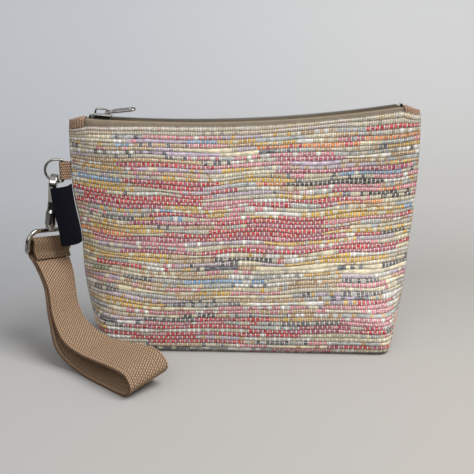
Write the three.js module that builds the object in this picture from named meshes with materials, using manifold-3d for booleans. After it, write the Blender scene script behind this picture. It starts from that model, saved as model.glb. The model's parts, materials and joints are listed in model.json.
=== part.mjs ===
// A zip pouch wristlet: a boxed pouch of woven strip fabric with a coil zip across the top, and a
// webbing wrist strap on a swivel snap hook, hung from a D-ring at the left side seam.
// Millimetres, +Z up. The pouch stands on z = 0, its side seams lie in y = 0 and its front faces -Y.
import * as THREE from 'three';
import { mergeVertices } from 'three/addons/utils/BufferGeometryUtils.js';
import Module from 'manifold-3d';

const wasm = await Module();
wasm.setup();

// Clearances
const gap = 0.3; // between pieces that touch or pass each other
const overrun = 3; // how far a cutter passes the faces that it cuts

// Pouch
const pouch_width = 230; // across the side seams
const base_depth = 57;
const base_turn_share = 0.045; // how far the base is turned about Z under the zip, as a slope
const mouth_depth = 13.6; // over the two top edges, at the zip
const hem_radius = 4; // soft fold between wall and base
const panel_thickness = 1.3; // woven strip fabric
const lining_thickness = 0.5;
const lining_room = 1.5; // between panel and lining, where the zip tape hangs

// Zip: its line sags as an arc, lowest left of the middle
const zip_low_height = 150.9; // of the tape's top face
const zip_low_place = -33; // from the middle of the pouch
const zip_sag_radius = 907;
const tape_thickness = 0.6;
const tape_flat = 4.3; // half width of the flat that carries the coils
const tape_end_inset = 9; // from the pouch's corner to the end of the tape
const tape_skirt = 12; // sewn down behind the panel
const edge_drop = 2.4; // from the tape's top face to the panel's top edge
const slot_width = 1.1; // between the two rows of teeth
const coil_width = 2.5; // one row
const coil_height = 1.5;
const coil_spine = 1;
const tooth_pitch = 2;
const tooth_width = 1.1;
const coil_start_inset = 15.7; // from the left corner to the first tooth
const coil_end_inset = 14; // from the right corner to the last tooth
const corner_droop_left = 3; // of the zip line past the coils, where the corners hang down
const corner_droop_right = 5;
const droop_length = 15.5;
const stop_length = 1.6;
const stop_height = 1.9;

// Zip end tabs
const tab_length = 10.8;
const tab_thickness = 1;

// Slider and pull
const slider_length = 12.7;
const slider_width = 8.4;
const slider_nose = 6.6; // width at the closed end
const bottom_plate_width = 7;
const plate_thickness = 1;
const flange_thickness = 0.85;
const post_thickness = 0.5;
const post_length = 3;
const bridge_width = 1.8;
const bridge_thickness = 1.1;
const bridge_clear = 2.8; // under the bridge
const bridge_start = -5.4;
const bridge_end = 4.5;
const pull_length = 20;
const pull_width = 6.4;
const pull_thickness = 1.2;
const pull_neck = 4.8; // outer width where it straddles the bridge
const pull_window = 3; // inner width there
const pull_bar = 0.6; // half the cross bar
const pull_reach = 4.9; // from the cross bar's middle to the end of the window
const pull_axis_place = 2.2; // along the slider
const pull_axis_height = 4.5; // above the tape
const pull_hole = 1.3;
const pull_tilt = 10 * Math.PI / 180;

// D-ring and the tab that holds it
const ring_wire = 1.8;
const ring_height = 14.6; // between the wire's middles, along the bar
const ring_corner = 1.5;
const ring_length = 11.9; // from the bar's middle to the wire's middle at the bow
const ring_standoff = 5.2; // from the pouch's corner out to the bar
const ring_level = 118.5; // middle of the ring above the floor
const side_tab_width = 11.8;
const side_tab_ply = 1.2;

// Snap hook
const hook_ride = 12 * Math.PI / 180; // where the hook hangs on the bow, from straight down
const hook_tilt = Math.atan(0.13); // to the left
const hook_lean = -Math.atan(0.08); // to the front
const claw_thickness = 5;
const claw_inner = 3.8;
const claw_outer = 6.6;
const claw_bevel = 0.5;
const ring_rise = 0.75; // of the ring's bow over half the claw's thickness
const hook_length = 27.7; // from the throat's middle to the foot of the boss
const boss_radius = 3.75;
const boss_length = 8;
const boss_taper = 4;
const shank_half = 3;
const shank_start = 12; // below the throat's middle
const gate_thickness = 2.4;
const gate_pivot_out = 1.6; // from the hook's axis
const gate_pivot_drop = 8.2; // below the throat's middle
const gate_eye = 1.9;
const gate_reach = 8.5; // from its pivot to its tip
const gate_inner = 4.3;
const gate_outer = 6.3;
const knob_radius = 1.1;
const knob_out = 7; // from the hook's axis
const knob_drop = 3.4;
const pin_radius = 0.8;
const spring_wire = 0.35;
const spring_pitch = 0.45;
const spring_turns = 2;
const stem_radius = 1.6;
const head_radius = 2.4;
const head_length = 1.7;
const stem_length = 6; // inside the boss

// Swivel eye
const neck_gap = 0.5;
const collar_radius = 3.4;
const collar_length = 2.6;
const eye_wire = 2.6;
const eye_bevel = 0.4;
const eye_inner_width = 33.4;
const eye_rise = 12.5; // from the bar's middle to the underside of the bow
const eye_corner = 6.4;
const eye_yaw = 52 * Math.PI / 180;

// Wrist strap
const strap_width = 30;
const strap_thickness = 1.8;
const strap_reach = 111; // of the loop along the floor
const strap_fold = 5.6; // slack of the fold over the bar
const strap_play = 0.6; // round the bar
const strap_stitch = 5; // from the bar's middle down to the sewn edge
const strap_drift = 15; // sideways, toward the front, on the way down to the floor
const strap_bend = 7.5; // further sideways along the floor
const strap_twist = 13 * Math.PI / 180; // about Z, where the loop hangs
const strap_fan = -7 * Math.PI / 180; // about Z, at the loop's far end
const strap_lift = 6; // of the back edge at the loop's far end

// Seam label
const label_height = 39.5;
const label_top = 109.5; // above the floor, at the seam
const label_reach = 11.7; // out from the seam
const label_bulge = 9.6; // toward the front
const label_ply = 0.35;
const label_slack = 0.3; // between the two plies

const width_shares = [
  [0, 0.872], [0.08, 0.908], [0.2, 0.937], [0.35, 0.957], [0.5, 0.975], [0.7, 0.995], [0.85, 1], [1, 1],
];
const depth_shares = [
  [0, 1], [0.12, 1.02], [0.25, 0.95], [0.44, 0.78], [0.63, 0.55], [0.77, 0.34], [0.9, 0.12], [1, 0],
];
const squareness_by_height = [
  [0, 46], [0.06, 26], [0.14, 12], [0.25, 5.8], [0.44, 3], [0.63, 2.4], [0.77, 3], [0.88, 7], [1, 24],
];
const strap_route_shares = [
  // run and height of the strap's middle, from the sewn edge down over the floor and back
  [0.042, 0.915], [0.093, 0.81], [0.158, 0.664], [0.226, 0.483], [0.3, 0.352], [0.389, 0.267],
  [0.505, 0.221], [0.636, 0.221], [0.764, 0.23], [0.882, 0.23], [0.9545, 0.208], [1, 0.122],
  [0.959, 0.036], [0.882, 0.0158], [0.764, 0.015], [0.61, 0.0175], [0.475, 0.05], [0.357, 0.153],
  [0.27, 0.3], [0.204, 0.455], [0.138, 0.64], [0.073, 0.79], [0.018, 0.905],
];

const quarter = Math.PI / 2;
const half_width = pouch_width / 2;
const tape_end = half_width - tape_end_inset;
const coil_start = coil_start_inset - half_width;
const coil_end = half_width - coil_end_inset;
const ring_place = -half_width - ring_standoff;

// Value of a table of [place, value] pairs at a place, along a smooth curve through them.
function valueAt(table, place) {
  const last = table.length - 1;
  let k = 0;
  while (k < last - 1 && place > table[k + 1][0]) k += 1;
  const [x0, y0] = table[k];
  const [x1, y1] = table[k + 1];
  const before = table[Math.max(k - 1, 0)];
  const after = table[Math.min(k + 2, last)];
  const span = x1 - x0;
  const m0 = (y1 - before[1]) / (x1 - before[0]) * span;
  const m1 = (after[1] - y0) / (after[0] - x0) * span;
  const t = THREE.MathUtils.clamp((place - x0) / span, 0, 1);
  const t2 = t * t;
  const t3 = t2 * t;
  return (2 * t3 - 3 * t2 + 1) * y0 + (t3 - 2 * t2 + t) * m0 + (3 * t2 - 2 * t3) * y1 + (t3 - t2) * m1;
}

// The same surface with doubled points merged and empty triangles dropped.
function welded(geometry) {
  const bare = geometry.clone();
  bare.deleteAttribute('normal');
  bare.deleteAttribute('uv');
  const merged = mergeVertices(bare, gap / 1000);
  const index = Array.from(merged.index.array);
  const kept = [];
  for (let n = 0; n < index.length; n += 3) {
    const [i, j, k] = index.slice(n, n + 3);
    if (i !== j && j !== k && k !== i) kept.push(i, j, k);
  }
  merged.setIndex(kept);
  return merged;
}

// A closed solid from its points and triangles, with the faces turned outward.
function closedGeometry(points, triangles) {
  const loose = new THREE.BufferGeometry();
  loose.setAttribute('position', new THREE.Float32BufferAttribute(points.flatMap((p) => [p.x, p.y, p.z]), 3));
  loose.setIndex(triangles.flat());
  const solid = welded(loose);
  const index = Array.from(solid.index.array);
  const position = solid.attributes.position;
  let volume = 0;
  const [a, b, c] = [new THREE.Vector3(), new THREE.Vector3(), new THREE.Vector3()];
  for (let n = 0; n < index.length; n += 3) {
    a.fromBufferAttribute(position, index[n]);
    b.fromBufferAttribute(position, index[n + 1]);
    c.fromBufferAttribute(position, index[n + 2]);
    volume += a.dot(b.cross(c));
  }
  if (volume < 0) solid.setIndex(index.reverse());
  solid.computeVertexNormals();
  return solid;
}

// A sheet with thickness between two grids of points, closed round all four edges.
function thickSheet(outer, inner, columns, rows) {
  const points = [];
  const triangles = [];
  const across = rows + 1;
  const back = (columns + 1) * across;
  for (const face of [outer, inner]) {
    for (let i = 0; i <= columns; i += 1) {
      for (let j = 0; j <= rows; j += 1) points.push(face(i, j));
    }
  }
  const at = (i, j) => i * across + j;
  const quad = (p, q, r, s) => triangles.push([p, q, r], [p, r, s]);
  for (let i = 0; i < columns; i += 1) {
    for (let j = 0; j < rows; j += 1) {
      quad(at(i, j), at(i + 1, j), at(i + 1, j + 1), at(i, j + 1));
      quad(back + at(i, j), back + at(i, j + 1), back + at(i + 1, j + 1), back + at(i + 1, j));
    }
    quad(at(i, 0), back + at(i, 0), back + at(i + 1, 0), at(i + 1, 0));
    quad(at(i, rows), at(i + 1, rows), back + at(i + 1, rows), back + at(i, rows));
  }
  for (let j = 0; j < rows; j += 1) {
    quad(at(0, j), at(0, j + 1), back + at(0, j + 1), back + at(0, j));
    quad(at(columns, j), back + at(columns, j), back + at(columns, j + 1), at(columns, j + 1));
  }
  return closedGeometry(points, triangles);
}

function solidOf(geometry) {
  const solid = welded(geometry);
  return new wasm.Manifold(new wasm.Mesh({
    numProp: 3,
    vertProperties: new Float32Array(solid.attributes.position.array),
    triVerts: new Uint32Array(solid.index.array),
  }));
}

function geometryOf(solid) {
  const mesh = solid.getMesh();
  const geometry = new THREE.BufferGeometry();
  geometry.setAttribute('position', new THREE.BufferAttribute(new Float32Array(mesh.vertProperties), 3));
  geometry.setIndex(new THREE.BufferAttribute(new Uint32Array(mesh.triVerts), 1));
  geometry.computeVertexNormals();
  return geometry;
}

// The first geometry with the others joined on and the cutters taken away.
function shaped(geometry, joined, cutters) {
  let solid = solidOf(geometry);
  for (const one of joined) solid = solid.add(solidOf(one));
  for (const one of cutters) solid = solid.subtract(solidOf(one));
  return geometryOf(solid);
}

function boxBetween(low, high) {
  const size = new THREE.Vector3().subVectors(high, low);
  const middle = new THREE.Vector3().addVectors(low, high).multiplyScalar(0.5);
  return new THREE.BoxGeometry(size.x, size.y, size.z).translate(middle.x, middle.y, middle.z);
}

function span(x0, y0, z0, x1, y1, z1) {
  return boxBetween(new THREE.Vector3(x0, y0, z0), new THREE.Vector3(x1, y1, z1));
}

// A cylinder or cone along Z between two heights.
function upright(low, high, low_radius, high_radius, sides) {
  return new THREE.CylinderGeometry(high_radius, low_radius, high - low, sides)
    .rotateX(quarter).translate(0, 0, (low + high) / 2);
}

// A flat outline in X and Y, extruded along Z about the middle of its thickness.
function plate(shape, thickness, bevel, curve_segments) {
  return new THREE.ExtrudeGeometry(shape, {
    depth: thickness - 2 * bevel,
    bevelEnabled: bevel > 0,
    bevelThickness: bevel,
    bevelSize: bevel,
    bevelOffset: -bevel,
    bevelSegments: 1,
    curveSegments: curve_segments,
    steps: 1,
  }).translate(0, 0, bevel - thickness / 2);
}

function moved(geometry, place) {
  const position = geometry.attributes.position;
  const point = new THREE.Vector3();
  for (let n = 0; n < position.count; n += 1) {
    point.fromBufferAttribute(position, n);
    place(point);
    position.setXYZ(n, point.x, point.y, point.z);
  }
  geometry.computeVertexNormals();
  return geometry;
}

function material(colour, roughness, metalness) {
  return new THREE.MeshStandardMaterial({ color: colour, roughness, metalness });
}

function fabric(colour) {
  return material(colour, 0.9, 0);
}

function nickel() {
  return material('#b9bcc0', 0.28, 1);
}

function node(name, geometry, look) {
  const mesh = new THREE.Mesh(geometry, look);
  mesh.name = name;
  return mesh;
}


const zip_centre = zip_low_height + zip_sag_radius; // height of the middle of the zip's arc

// How far the line of the zip hangs below its arc, past the ends of the coils.
function droopAt(x) {
  const share = THREE.MathUtils.clamp((Math.abs(x) - half_width + droop_length) / droop_length, 0, 1);
  return (x < 0 ? corner_droop_left : corner_droop_right) * Math.sin(share * quarter) ** 2;
}

// Where a point of the zip lies: s along the arc from the middle of the pouch, height above the tape.
function onZip(point) {
  const turn = (point.x - zip_low_place) / zip_sag_radius;
  const radius = zip_sag_radius - point.z;
  const x = zip_low_place + radius * Math.sin(turn);
  point.set(x, point.y, zip_centre - radius * Math.cos(turn) - droopAt(x));
}

function zipHeightAt(x) {
  return zip_centre - Math.sqrt(zip_sag_radius ** 2 - (x - zip_low_place) ** 2) - droopAt(x);
}

// Half the pouch's depth at a share of its width, inset from the outer face, and its reach in X.
function sectionAt(rise, inset) {
  const width = half_width * valueAt(width_shares, rise);
  const depth = THREE.MathUtils.lerp(mouth_depth, base_depth, valueAt(depth_shares, rise)) / 2;
  const power = valueAt(squareness_by_height, rise);
  const slope = depth * power / width;
  return { width: width - inset * Math.hypot(1, slope) / slope, depth: depth - inset, power };
}

// A point of the pouch's skin. A station is a share of the wall's height, of the turn round the hem
// and of the base that lies ahead.
function pouchPoint(side, share, station, inset) {
  const { width, depth, power } = sectionAt(station.rise, inset);
  const hem = hem_radius - inset;
  const drawn_in = hem * (1 - Math.cos(station.turn * quarter));
  const x = share * (width - drawn_in);
  const bow = 1 - Math.abs(share) ** power;
  const turned = base_turn_share * x * (1 - THREE.MathUtils.smoothstep(station.rise, 0, 1 / 2));
  const y = side * (gap / 2 + station.ahead * (depth - drawn_in) * bow) - turned;
  const top = zipHeightAt(x) - edge_drop;
  const z = hem_radius + (top - hem_radius) * station.rise - hem * Math.sin(station.turn * quarter);
  return new THREE.Vector3(x, y, z);
}

function pouchStations(walls, hems, bases) {
  const stations = [];
  for (let n = 0; n <= walls; n += 1) {
    stations.push({ rise: 1 - Math.sin(n / walls * quarter) ** 1.3, turn: 0, ahead: 1 });
  }
  for (let n = 1; n <= hems; n += 1) stations.push({ rise: 0, turn: n / hems, ahead: 1 });
  for (let n = 1; n <= bases; n += 1) stations.push({ rise: 0, turn: 1, ahead: 1 - n / bases });
  return stations;
}

function pouchShell(side, inset, thickness, columns, stations) {
  const share = (i) => Math.sin((2 * i / columns - 1) * quarter);
  const face = (depth) => (i, j) => pouchPoint(side, share(i), stations[j], depth);
  return thickSheet(face(inset), face(inset + thickness), columns, stations.length - 1);
}

function panel(side) {
  return pouchShell(side, 0, panel_thickness, 26, pouchStations(11, 3, 1));
}

function lining(side) {
  const inset = panel_thickness + lining_room;
  return pouchShell(side, inset, lining_thickness, 20, pouchStations(8, 2, 1));
}


const skirt_inset = panel_thickness + (lining_room - tape_thickness) / 2;

// The share of the wall's height that a point lies at.
function riseAt(point) {
  const top = zipHeightAt(point.x) - edge_drop;
  return Math.min((point.z - hem_radius) / (top - hem_radius), 1);
}

// Half the depth over the tape's outer face where it passes behind the panel.
function skirtDepth(x, rise, inset) {
  const { width, depth, power } = sectionAt(rise, inset);
  return depth * (1 - Math.abs(x / width) ** power);
}

function zipTape(side) {
  const columns = 20;
  const point = (i, j, inset) => {
    const x = Math.sin((2 * i / columns - 1) * quarter) * tape_end;
    const deep = inset - skirt_inset;
    const drops = [deep, deep, deep + (edge_drop - deep) / 4, edge_drop - gap, edge_drop + tape_skirt];
    const place = new THREE.Vector3(x, 0, -drops[j]);
    onZip(place);
    const outer = skirtDepth(place.x, riseAt(place), inset);
    const flat = Math.min(tape_flat, outer - gap) - deep / 2;
    place.y = side * [slot_width / 2, flat, (flat + outer) / 2, outer, outer][j];
    return place;
  };
  return thickSheet(
    (i, j) => point(i, j, skirt_inset),
    (i, j) => point(i, j, skirt_inset + tape_thickness),
    columns,
    4,
  );
}

// Triangles between two rows of points that run side by side in X.
function stitched(one, other, points) {
  const triangles = [];
  let i = 0;
  let j = 0;
  while (i < one.length - 1 || j < other.length - 1) {
    const ahead = i < one.length - 1 ? points[one[i + 1]].x : Infinity;
    const ahead_other = j < other.length - 1 ? points[other[j + 1]].x : Infinity;
    if (ahead <= ahead_other) {
      triangles.push([one[i], one[i + 1], other[j]]);
      i += 1;
    } else {
      triangles.push([one[i], other[j + 1], other[j]]);
      j += 1;
    }
  }
  return triangles;
}

// One row of the coil: a spine with teeth toward the middle of the zip. The rows stand half a pitch
// apart, so that the teeth of one face the gaps of the other.
function zipCoil(side) {
  const near = slot_width / 2;
  const far = near + coil_width;
  const first = coil_start + (side > 0 ? tooth_pitch / 2 : 0);
  const count = Math.floor((coil_end - first) / tooth_pitch);
  const points = [];
  const triangles = [];
  const quad = (p, q, r, t) => triangles.push([p, q, r], [p, r, t]);
  const pair = (s, across) => {
    for (const height of [gap, gap + coil_height]) points.push(new THREE.Vector3(s, side * across, height));
    return points.length - 2;
  };
  const middles = [pair(coil_start, far - coil_spine)];
  const teeth = [];
  for (let n = 0; n < count; n += 1) {
    const start = first + n * tooth_pitch + (tooth_pitch - tooth_width) / 2;
    const corners = [start, start + tooth_width].map((s) => [pair(s, near), pair(s, far - coil_spine)]);
    middles.push(corners[0][1], corners[1][1]);
    teeth.push(corners);
  }
  middles.push(pair(coil_end, far - coil_spine));
  const bends = Math.round(count / 4);
  const backs = [];
  for (let n = 0; n <= bends; n += 1) {
    backs.push(pair(THREE.MathUtils.lerp(coil_start, coil_end, n / bends), far));
  }
  const top = (row) => row.map((n) => n + 1);
  triangles.push(...stitched(top(middles), top(backs), points));
  triangles.push(...stitched(middles, backs, points).map(([p, q, r]) => [p, r, q]));
  for (let n = 0; n < bends; n += 1) quad(backs[n], backs[n] + 1, backs[n + 1] + 1, backs[n + 1]);
  for (let n = 0; n < middles.length; n += 2) {
    quad(middles[n], middles[n + 1], middles[n + 1] + 1, middles[n] + 1);
  }
  for (const [[a, b], [c, d]] of teeth) {
    quad(a + 1, c + 1, d + 1, b + 1);
    quad(a, b, d, c);
    quad(a, c, c + 1, a + 1);
    quad(a, a + 1, b + 1, b);
    quad(c, d, d + 1, c + 1);
  }
  const [m0, m1, b0, b1] = [middles[0], middles.at(-1), backs[0], backs.at(-1)];
  quad(m0, m0 + 1, b0 + 1, b0);
  quad(m1, b1, b1 + 1, m1 + 1);
  return moved(closedGeometry(points, triangles), onZip);
}

function zipTopStop(side) {
  const near = slot_width / 2 + gap / 2;
  const stop = boxBetween(
    new THREE.Vector3(coil_start - gap - stop_length, Math.min(side * near, side * coil_width), gap),
    new THREE.Vector3(coil_start - gap, Math.max(side * near, side * coil_width), gap + stop_height),
  );
  return moved(stop, onZip);
}

function zipBottomStop() {
  const half = slot_width / 2 + coil_width * 0.7;
  const start = coil_end + gap;
  return moved(span(start, -half, gap, start + stop_length, half, gap + stop_height), onZip);
}

// A short piece of webbing folded over the end of the zip, open toward the coils.
function zipEndTab(side) {
  const columns = 6;
  const profile_shares = [
    // share of the half depth and of the drop, from the front edge over the top to the back edge
    [-1, 1], [-0.99, 0.45], [-0.95, 0.14], [-0.84, 0], [0, -0.04],
    [0.84, 0], [0.95, 0.14], [0.99, 0.45], [1, 1],
  ];
  const point = (i, j, inset) => {
    const x = half_width - gap * 2 - tab_length * (1 - Math.sin(i / columns * quarter));
    const outer = skirtDepth(x, 1, 0);
    const half = Math.max(outer - gap - inset, gap * (1.6 - inset));
    const [across, down] = profile_shares[j];
    const top = gap + tab_thickness - inset;
    const drop = top + edge_drop - gap;
    const place = new THREE.Vector3(side * x, across * half, top - down * drop);
    onZip(place);
    return place;
  };
  return thickSheet(
    (i, j) => point(i, j, 0),
    (i, j) => point(i, j, tab_thickness),
    columns,
    profile_shares.length - 1,
  );
}


const plate_under = gap + coil_height + gap; // underside of the top plate above the tape
const plate_top = plate_under + plate_thickness;
const slider_rest = coil_start + slider_length / 2 + gap;
const slider_turn = (slider_rest - zip_low_place) / zip_sag_radius;

function sliderPlate(wide, nose, low) {
  const half = slider_length / 2;
  const shape = new THREE.Shape();
  const corner = plate_thickness * 1.4;
  shape.moveTo(-half + corner, -wide / 2);
  shape.lineTo(-half * 0.1, -wide / 2);
  shape.lineTo(half - corner, -nose / 2);
  shape.quadraticCurveTo(half, -nose / 2, half, -nose / 2 + corner);
  shape.lineTo(half, nose / 2 - corner);
  shape.quadraticCurveTo(half, nose / 2, half - corner, nose / 2);
  shape.lineTo(-half * 0.1, wide / 2);
  shape.lineTo(-half + corner, wide / 2);
  shape.quadraticCurveTo(-half, wide / 2, -half, wide / 2 - corner);
  shape.lineTo(-half, -wide / 2 + corner);
  shape.quadraticCurveTo(-half, -wide / 2, -half + corner, -wide / 2);
  return plate(shape, plate_thickness, plate_thickness / 5, 3).translate(0, 0, low + plate_thickness / 2);
}

// Top plate with side flanges, bottom plate, the post that parts the teeth, and the bridge.
function sliderBody() {
  const half = slider_length / 2;
  const bottom = -tape_thickness - gap - plate_thickness;
  const sink = plate_thickness / 2;
  const top = sliderPlate(slider_width, slider_nose + 2 * flange_thickness, plate_under);
  const post = span(
    -half + sink, -post_thickness / 2, bottom + sink,
    -half + sink + post_length, post_thickness / 2, plate_under + sink,
  );
  const parts = [sliderPlate(bottom_plate_width, bottom_plate_width * 0.9, bottom), post];
  const row_side = slot_width / 2 + coil_width + gap;
  for (const side of [-1, 1]) {
    const low = Math.min(side * row_side, side * (row_side + flange_thickness));
    parts.push(span(
      -half + 2 * sink, low, gap + gap / 4,
      half - 2 * sink, low + flange_thickness, plate_under + sink,
    ));
  }
  const bridge = new THREE.Shape();
  const rise = bridge_clear + bridge_thickness;
  const foot = -sink;
  const shoulder = bridge_thickness * 1.8;
  bridge.moveTo(bridge_start, foot);
  bridge.quadraticCurveTo(bridge_start, rise, bridge_start + shoulder, rise);
  bridge.lineTo(bridge_end - shoulder, rise);
  bridge.quadraticCurveTo(bridge_end, rise, bridge_end, foot);
  bridge.lineTo(bridge_end - bridge_thickness, foot);
  bridge.quadraticCurveTo(
    bridge_end - bridge_thickness, bridge_clear, bridge_end - shoulder - bridge_thickness / 2, bridge_clear,
  );
  bridge.lineTo(bridge_start + shoulder + bridge_thickness / 2, bridge_clear);
  const bridge_inside = bridge_start + bridge_thickness;
  bridge.quadraticCurveTo(bridge_inside, bridge_clear, bridge_inside, foot);
  bridge.closePath();
  const arch = plate(bridge, bridge_width, bridge_width / 6, 6).rotateX(quarter).translate(0, 0, plate_top);
  return shaped(top, [...parts, arch], []);
}

// Flat pull: a cross bar under the bridge, two arms that straddle it, and a blade with a hole.
function pullTab() {
  const shape = new THREE.Shape();
  const neck = pull_neck / 2;
  const wide = pull_width / 2;
  const tip = pull_length - pull_bar;
  shape.moveTo(-pull_bar, -neck);
  shape.lineTo(pull_reach * 0.8, -neck);
  shape.quadraticCurveTo(pull_reach * 1.1, -neck, pull_reach * 1.3, -wide);
  shape.lineTo(tip - wide, -wide);
  shape.absarc(tip - wide, 0, wide, -quarter, quarter, false);
  shape.lineTo(pull_reach * 1.3, wide);
  shape.quadraticCurveTo(pull_reach * 1.1, neck, pull_reach * 0.8, neck);
  shape.lineTo(-pull_bar, neck);
  shape.closePath();
  const window_hole = new THREE.Path();
  window_hole.moveTo(pull_bar, -pull_window / 2);
  window_hole.lineTo(pull_bar, pull_window / 2);
  window_hole.lineTo(pull_reach, pull_window / 2);
  window_hole.lineTo(pull_reach, -pull_window / 2);
  window_hole.closePath();
  const hole = new THREE.Path().absarc(tip - wide, 0, pull_hole, 0, 2 * Math.PI, true);
  shape.holes.push(window_hole, hole);
  return shaped(plate(shape, pull_thickness, pull_thickness / 6, 5), [], []);
}


const bow_radius = ring_height / 2;
const bow_centre = ring_place - ring_length + bow_radius;

function ringOutline(path, offset) {
  const half = ring_height / 2 + offset;
  const corner = ring_corner + offset;
  const bar = offset;
  path.moveTo(bar, -half + corner);
  path.lineTo(bar, half - corner);
  path.absarc(bar - corner, half - corner, corner, 0, quarter, false);
  path.lineTo(bow_centre - ring_place, half);
  path.absarc(bow_centre - ring_place, 0, half, quarter, 3 * quarter, false);
  path.lineTo(bar - corner, -half);
  path.absarc(bar - corner, -half + corner, corner, -quarter, 0, false);
  return path;
}

function dRing() {
  const shape = ringOutline(new THREE.Shape(), ring_wire / 2);
  shape.holes.push(ringOutline(new THREE.Path(), -ring_wire / 2));
  return shaped(plate(shape, ring_wire, ring_wire / 4, 7), [], []).rotateX(quarter);
}

// Webbing folded round the ring's bar, with its two ends sewn into the side seam.
function sideTab() {
  const hole_radius = ring_wire * 0.73;
  const outer = hole_radius + side_tab_ply;
  const seam = -half_width * valueAt(width_shares, ring_level / zip_low_height) - gap;
  const length = seam - ring_place;
  const shape = new THREE.Shape();
  shape.moveTo(length, -side_tab_ply);
  shape.lineTo(length, side_tab_ply);
  shape.lineTo(length / 2, side_tab_ply + gap);
  shape.absarc(0, 0, outer, quarter * 0.9, 3.1 * quarter, false);
  shape.lineTo(length / 2, -side_tab_ply - gap);
  shape.closePath();
  shape.holes.push(new THREE.Path().absarc(0, 0, hole_radius, 0, 2 * Math.PI, true));
  return shaped(plate(shape, side_tab_width, 0, 12), [], []);
}

// A woven label folded in two, its cut ends caught in the side seam. It bulges past the hook.
function seamLabel() {
  const steps = 9;
  const fold_steps = 4;
  const middle = (label_slack + label_ply) / 2;
  const curve = new THREE.SplineCurve([
    new THREE.Vector2(0, 0),
    new THREE.Vector2(label_reach * 0.1, label_bulge * 0.58),
    new THREE.Vector2(label_reach * 0.44, label_bulge * 0.9),
    new THREE.Vector2(label_reach, label_bulge),
  ]);
  const path = [];
  const ply = (n, side) => {
    const at = curve.getPoint(n / steps);
    const along = curve.getTangent(n / steps);
    const normal = new THREE.Vector2(-along.y, along.x).multiplyScalar(side);
    path.push({ at: at.addScaledVector(normal, middle), normal });
  };
  for (let n = 0; n <= steps; n += 1) ply(n, 1);
  const end = curve.getPoint(1);
  const along = curve.getTangent(1);
  for (let n = 1; n < fold_steps; n += 1) {
    const turn = quarter - n / fold_steps * Math.PI;
    const normal = new THREE.Vector2(
      along.x * Math.cos(turn) - along.y * Math.sin(turn),
      along.y * Math.cos(turn) + along.x * Math.sin(turn),
    );
    path.push({ at: end.clone().addScaledVector(normal, middle), normal });
  }
  for (let n = steps; n >= 0; n -= 1) ply(n, -1);
  const rows = 3;
  const face = (offset) => (i, j) => {
    const z = label_top - label_height * j / rows;
    const rise = (z - hem_radius) / (zip_low_height - edge_drop - hem_radius);
    const seam = half_width * valueAt(width_shares, rise) + gap + label_ply;
    const flat = path[i].at.clone().addScaledVector(path[i].normal, offset);
    return new THREE.Vector3(-seam - flat.x, -flat.y, z - flat.x * 0.09);
  };
  return thickSheet(face(label_ply / 2), face(-label_ply / 2), path.length - 1, rows);
}


// In the hook's own frame: Z up its axis, the ring's wire at the origin, its plane in Y and Z.
const throat = -(claw_inner - ring_wire / 2 - gap - ring_rise);

// The angle on a circle round the throat's middle at which it lies a reach from the gate's pivot.
function angleAtReach(radius, reach) {
  const drop = Math.hypot(gate_pivot_out, gate_pivot_drop);
  const bend = Math.acos((radius ** 2 + drop ** 2 - reach ** 2) / (2 * radius * drop));
  return Math.atan2(-gate_pivot_drop, gate_pivot_out) + bend;
}

function clawOutline() {
  const tip_reach = gate_reach + gap * 1.6;
  const tip_inner = angleAtReach(claw_inner, tip_reach);
  const tip_outer = angleAtReach(claw_outer, tip_reach);
  const heel = 215 * Math.PI / 180;
  const jaw = -50 * Math.PI / 180;
  const shape = new THREE.Shape();
  shape.moveTo(claw_outer * Math.cos(tip_outer), claw_outer * Math.sin(tip_outer));
  shape.absarc(0, 0, claw_outer, tip_outer, heel, false);
  shape.lineTo(-shank_half, -shank_start);
  shape.lineTo(-shank_half, -hook_length + boss_length / 2);
  shape.lineTo(shank_half, -hook_length + boss_length / 2);
  shape.lineTo(shank_half, -shank_start);
  shape.lineTo(gate_pivot_out + gate_eye + gap, -gate_pivot_drop);
  shape.lineTo(claw_inner * Math.cos(jaw), claw_inner * Math.sin(jaw));
  shape.absarc(0, 0, claw_inner, jaw, tip_inner - 2 * Math.PI, true);
  shape.closePath();
  return shape;
}

// Turns a plate from X and Y into the hook's plane, Y and Z.
function inHookPlane(geometry) {
  return geometry.rotateX(quarter).rotateZ(quarter).translate(0, 0, throat);
}

const hook_foot = throat - hook_length;
const cavity_low = hook_foot + stem_length;

function hookBody() {
  const claw = inHookPlane(plate(clawOutline(), claw_thickness, claw_bevel, 9));
  const boss_top = hook_foot + boss_length;
  const boss = upright(hook_foot, boss_top, boss_radius, boss_radius, 20);
  const taper = upright(boss_top, boss_top + boss_taper, boss_radius, claw_thickness / 2, 20);
  const slot_half = gate_thickness / 2 + gap;
  const slot = span(
    -slot_half, -gate_eye / 2, throat - shank_start - gap,
    slot_half, claw_outer + overrun, throat - claw_inner * 0.75,
  );
  const clear = gap * 1.3;
  const bore = upright(hook_foot - overrun, cavity_low + gap, stem_radius + clear, stem_radius + clear, 16);
  const cavity = upright(
    cavity_low, cavity_low + head_length + 2 * gap, head_radius + clear, head_radius + clear, 16,
  );
  const pin_hole = new THREE.CylinderGeometry(
    pin_radius + gap, pin_radius + gap, claw_thickness + overrun, 12,
  ).rotateZ(quarter).translate(0, gate_pivot_out, throat - gate_pivot_drop);
  return shaped(claw, [boss, taper], [slot, bore, cavity, pin_hole]);
}

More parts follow.
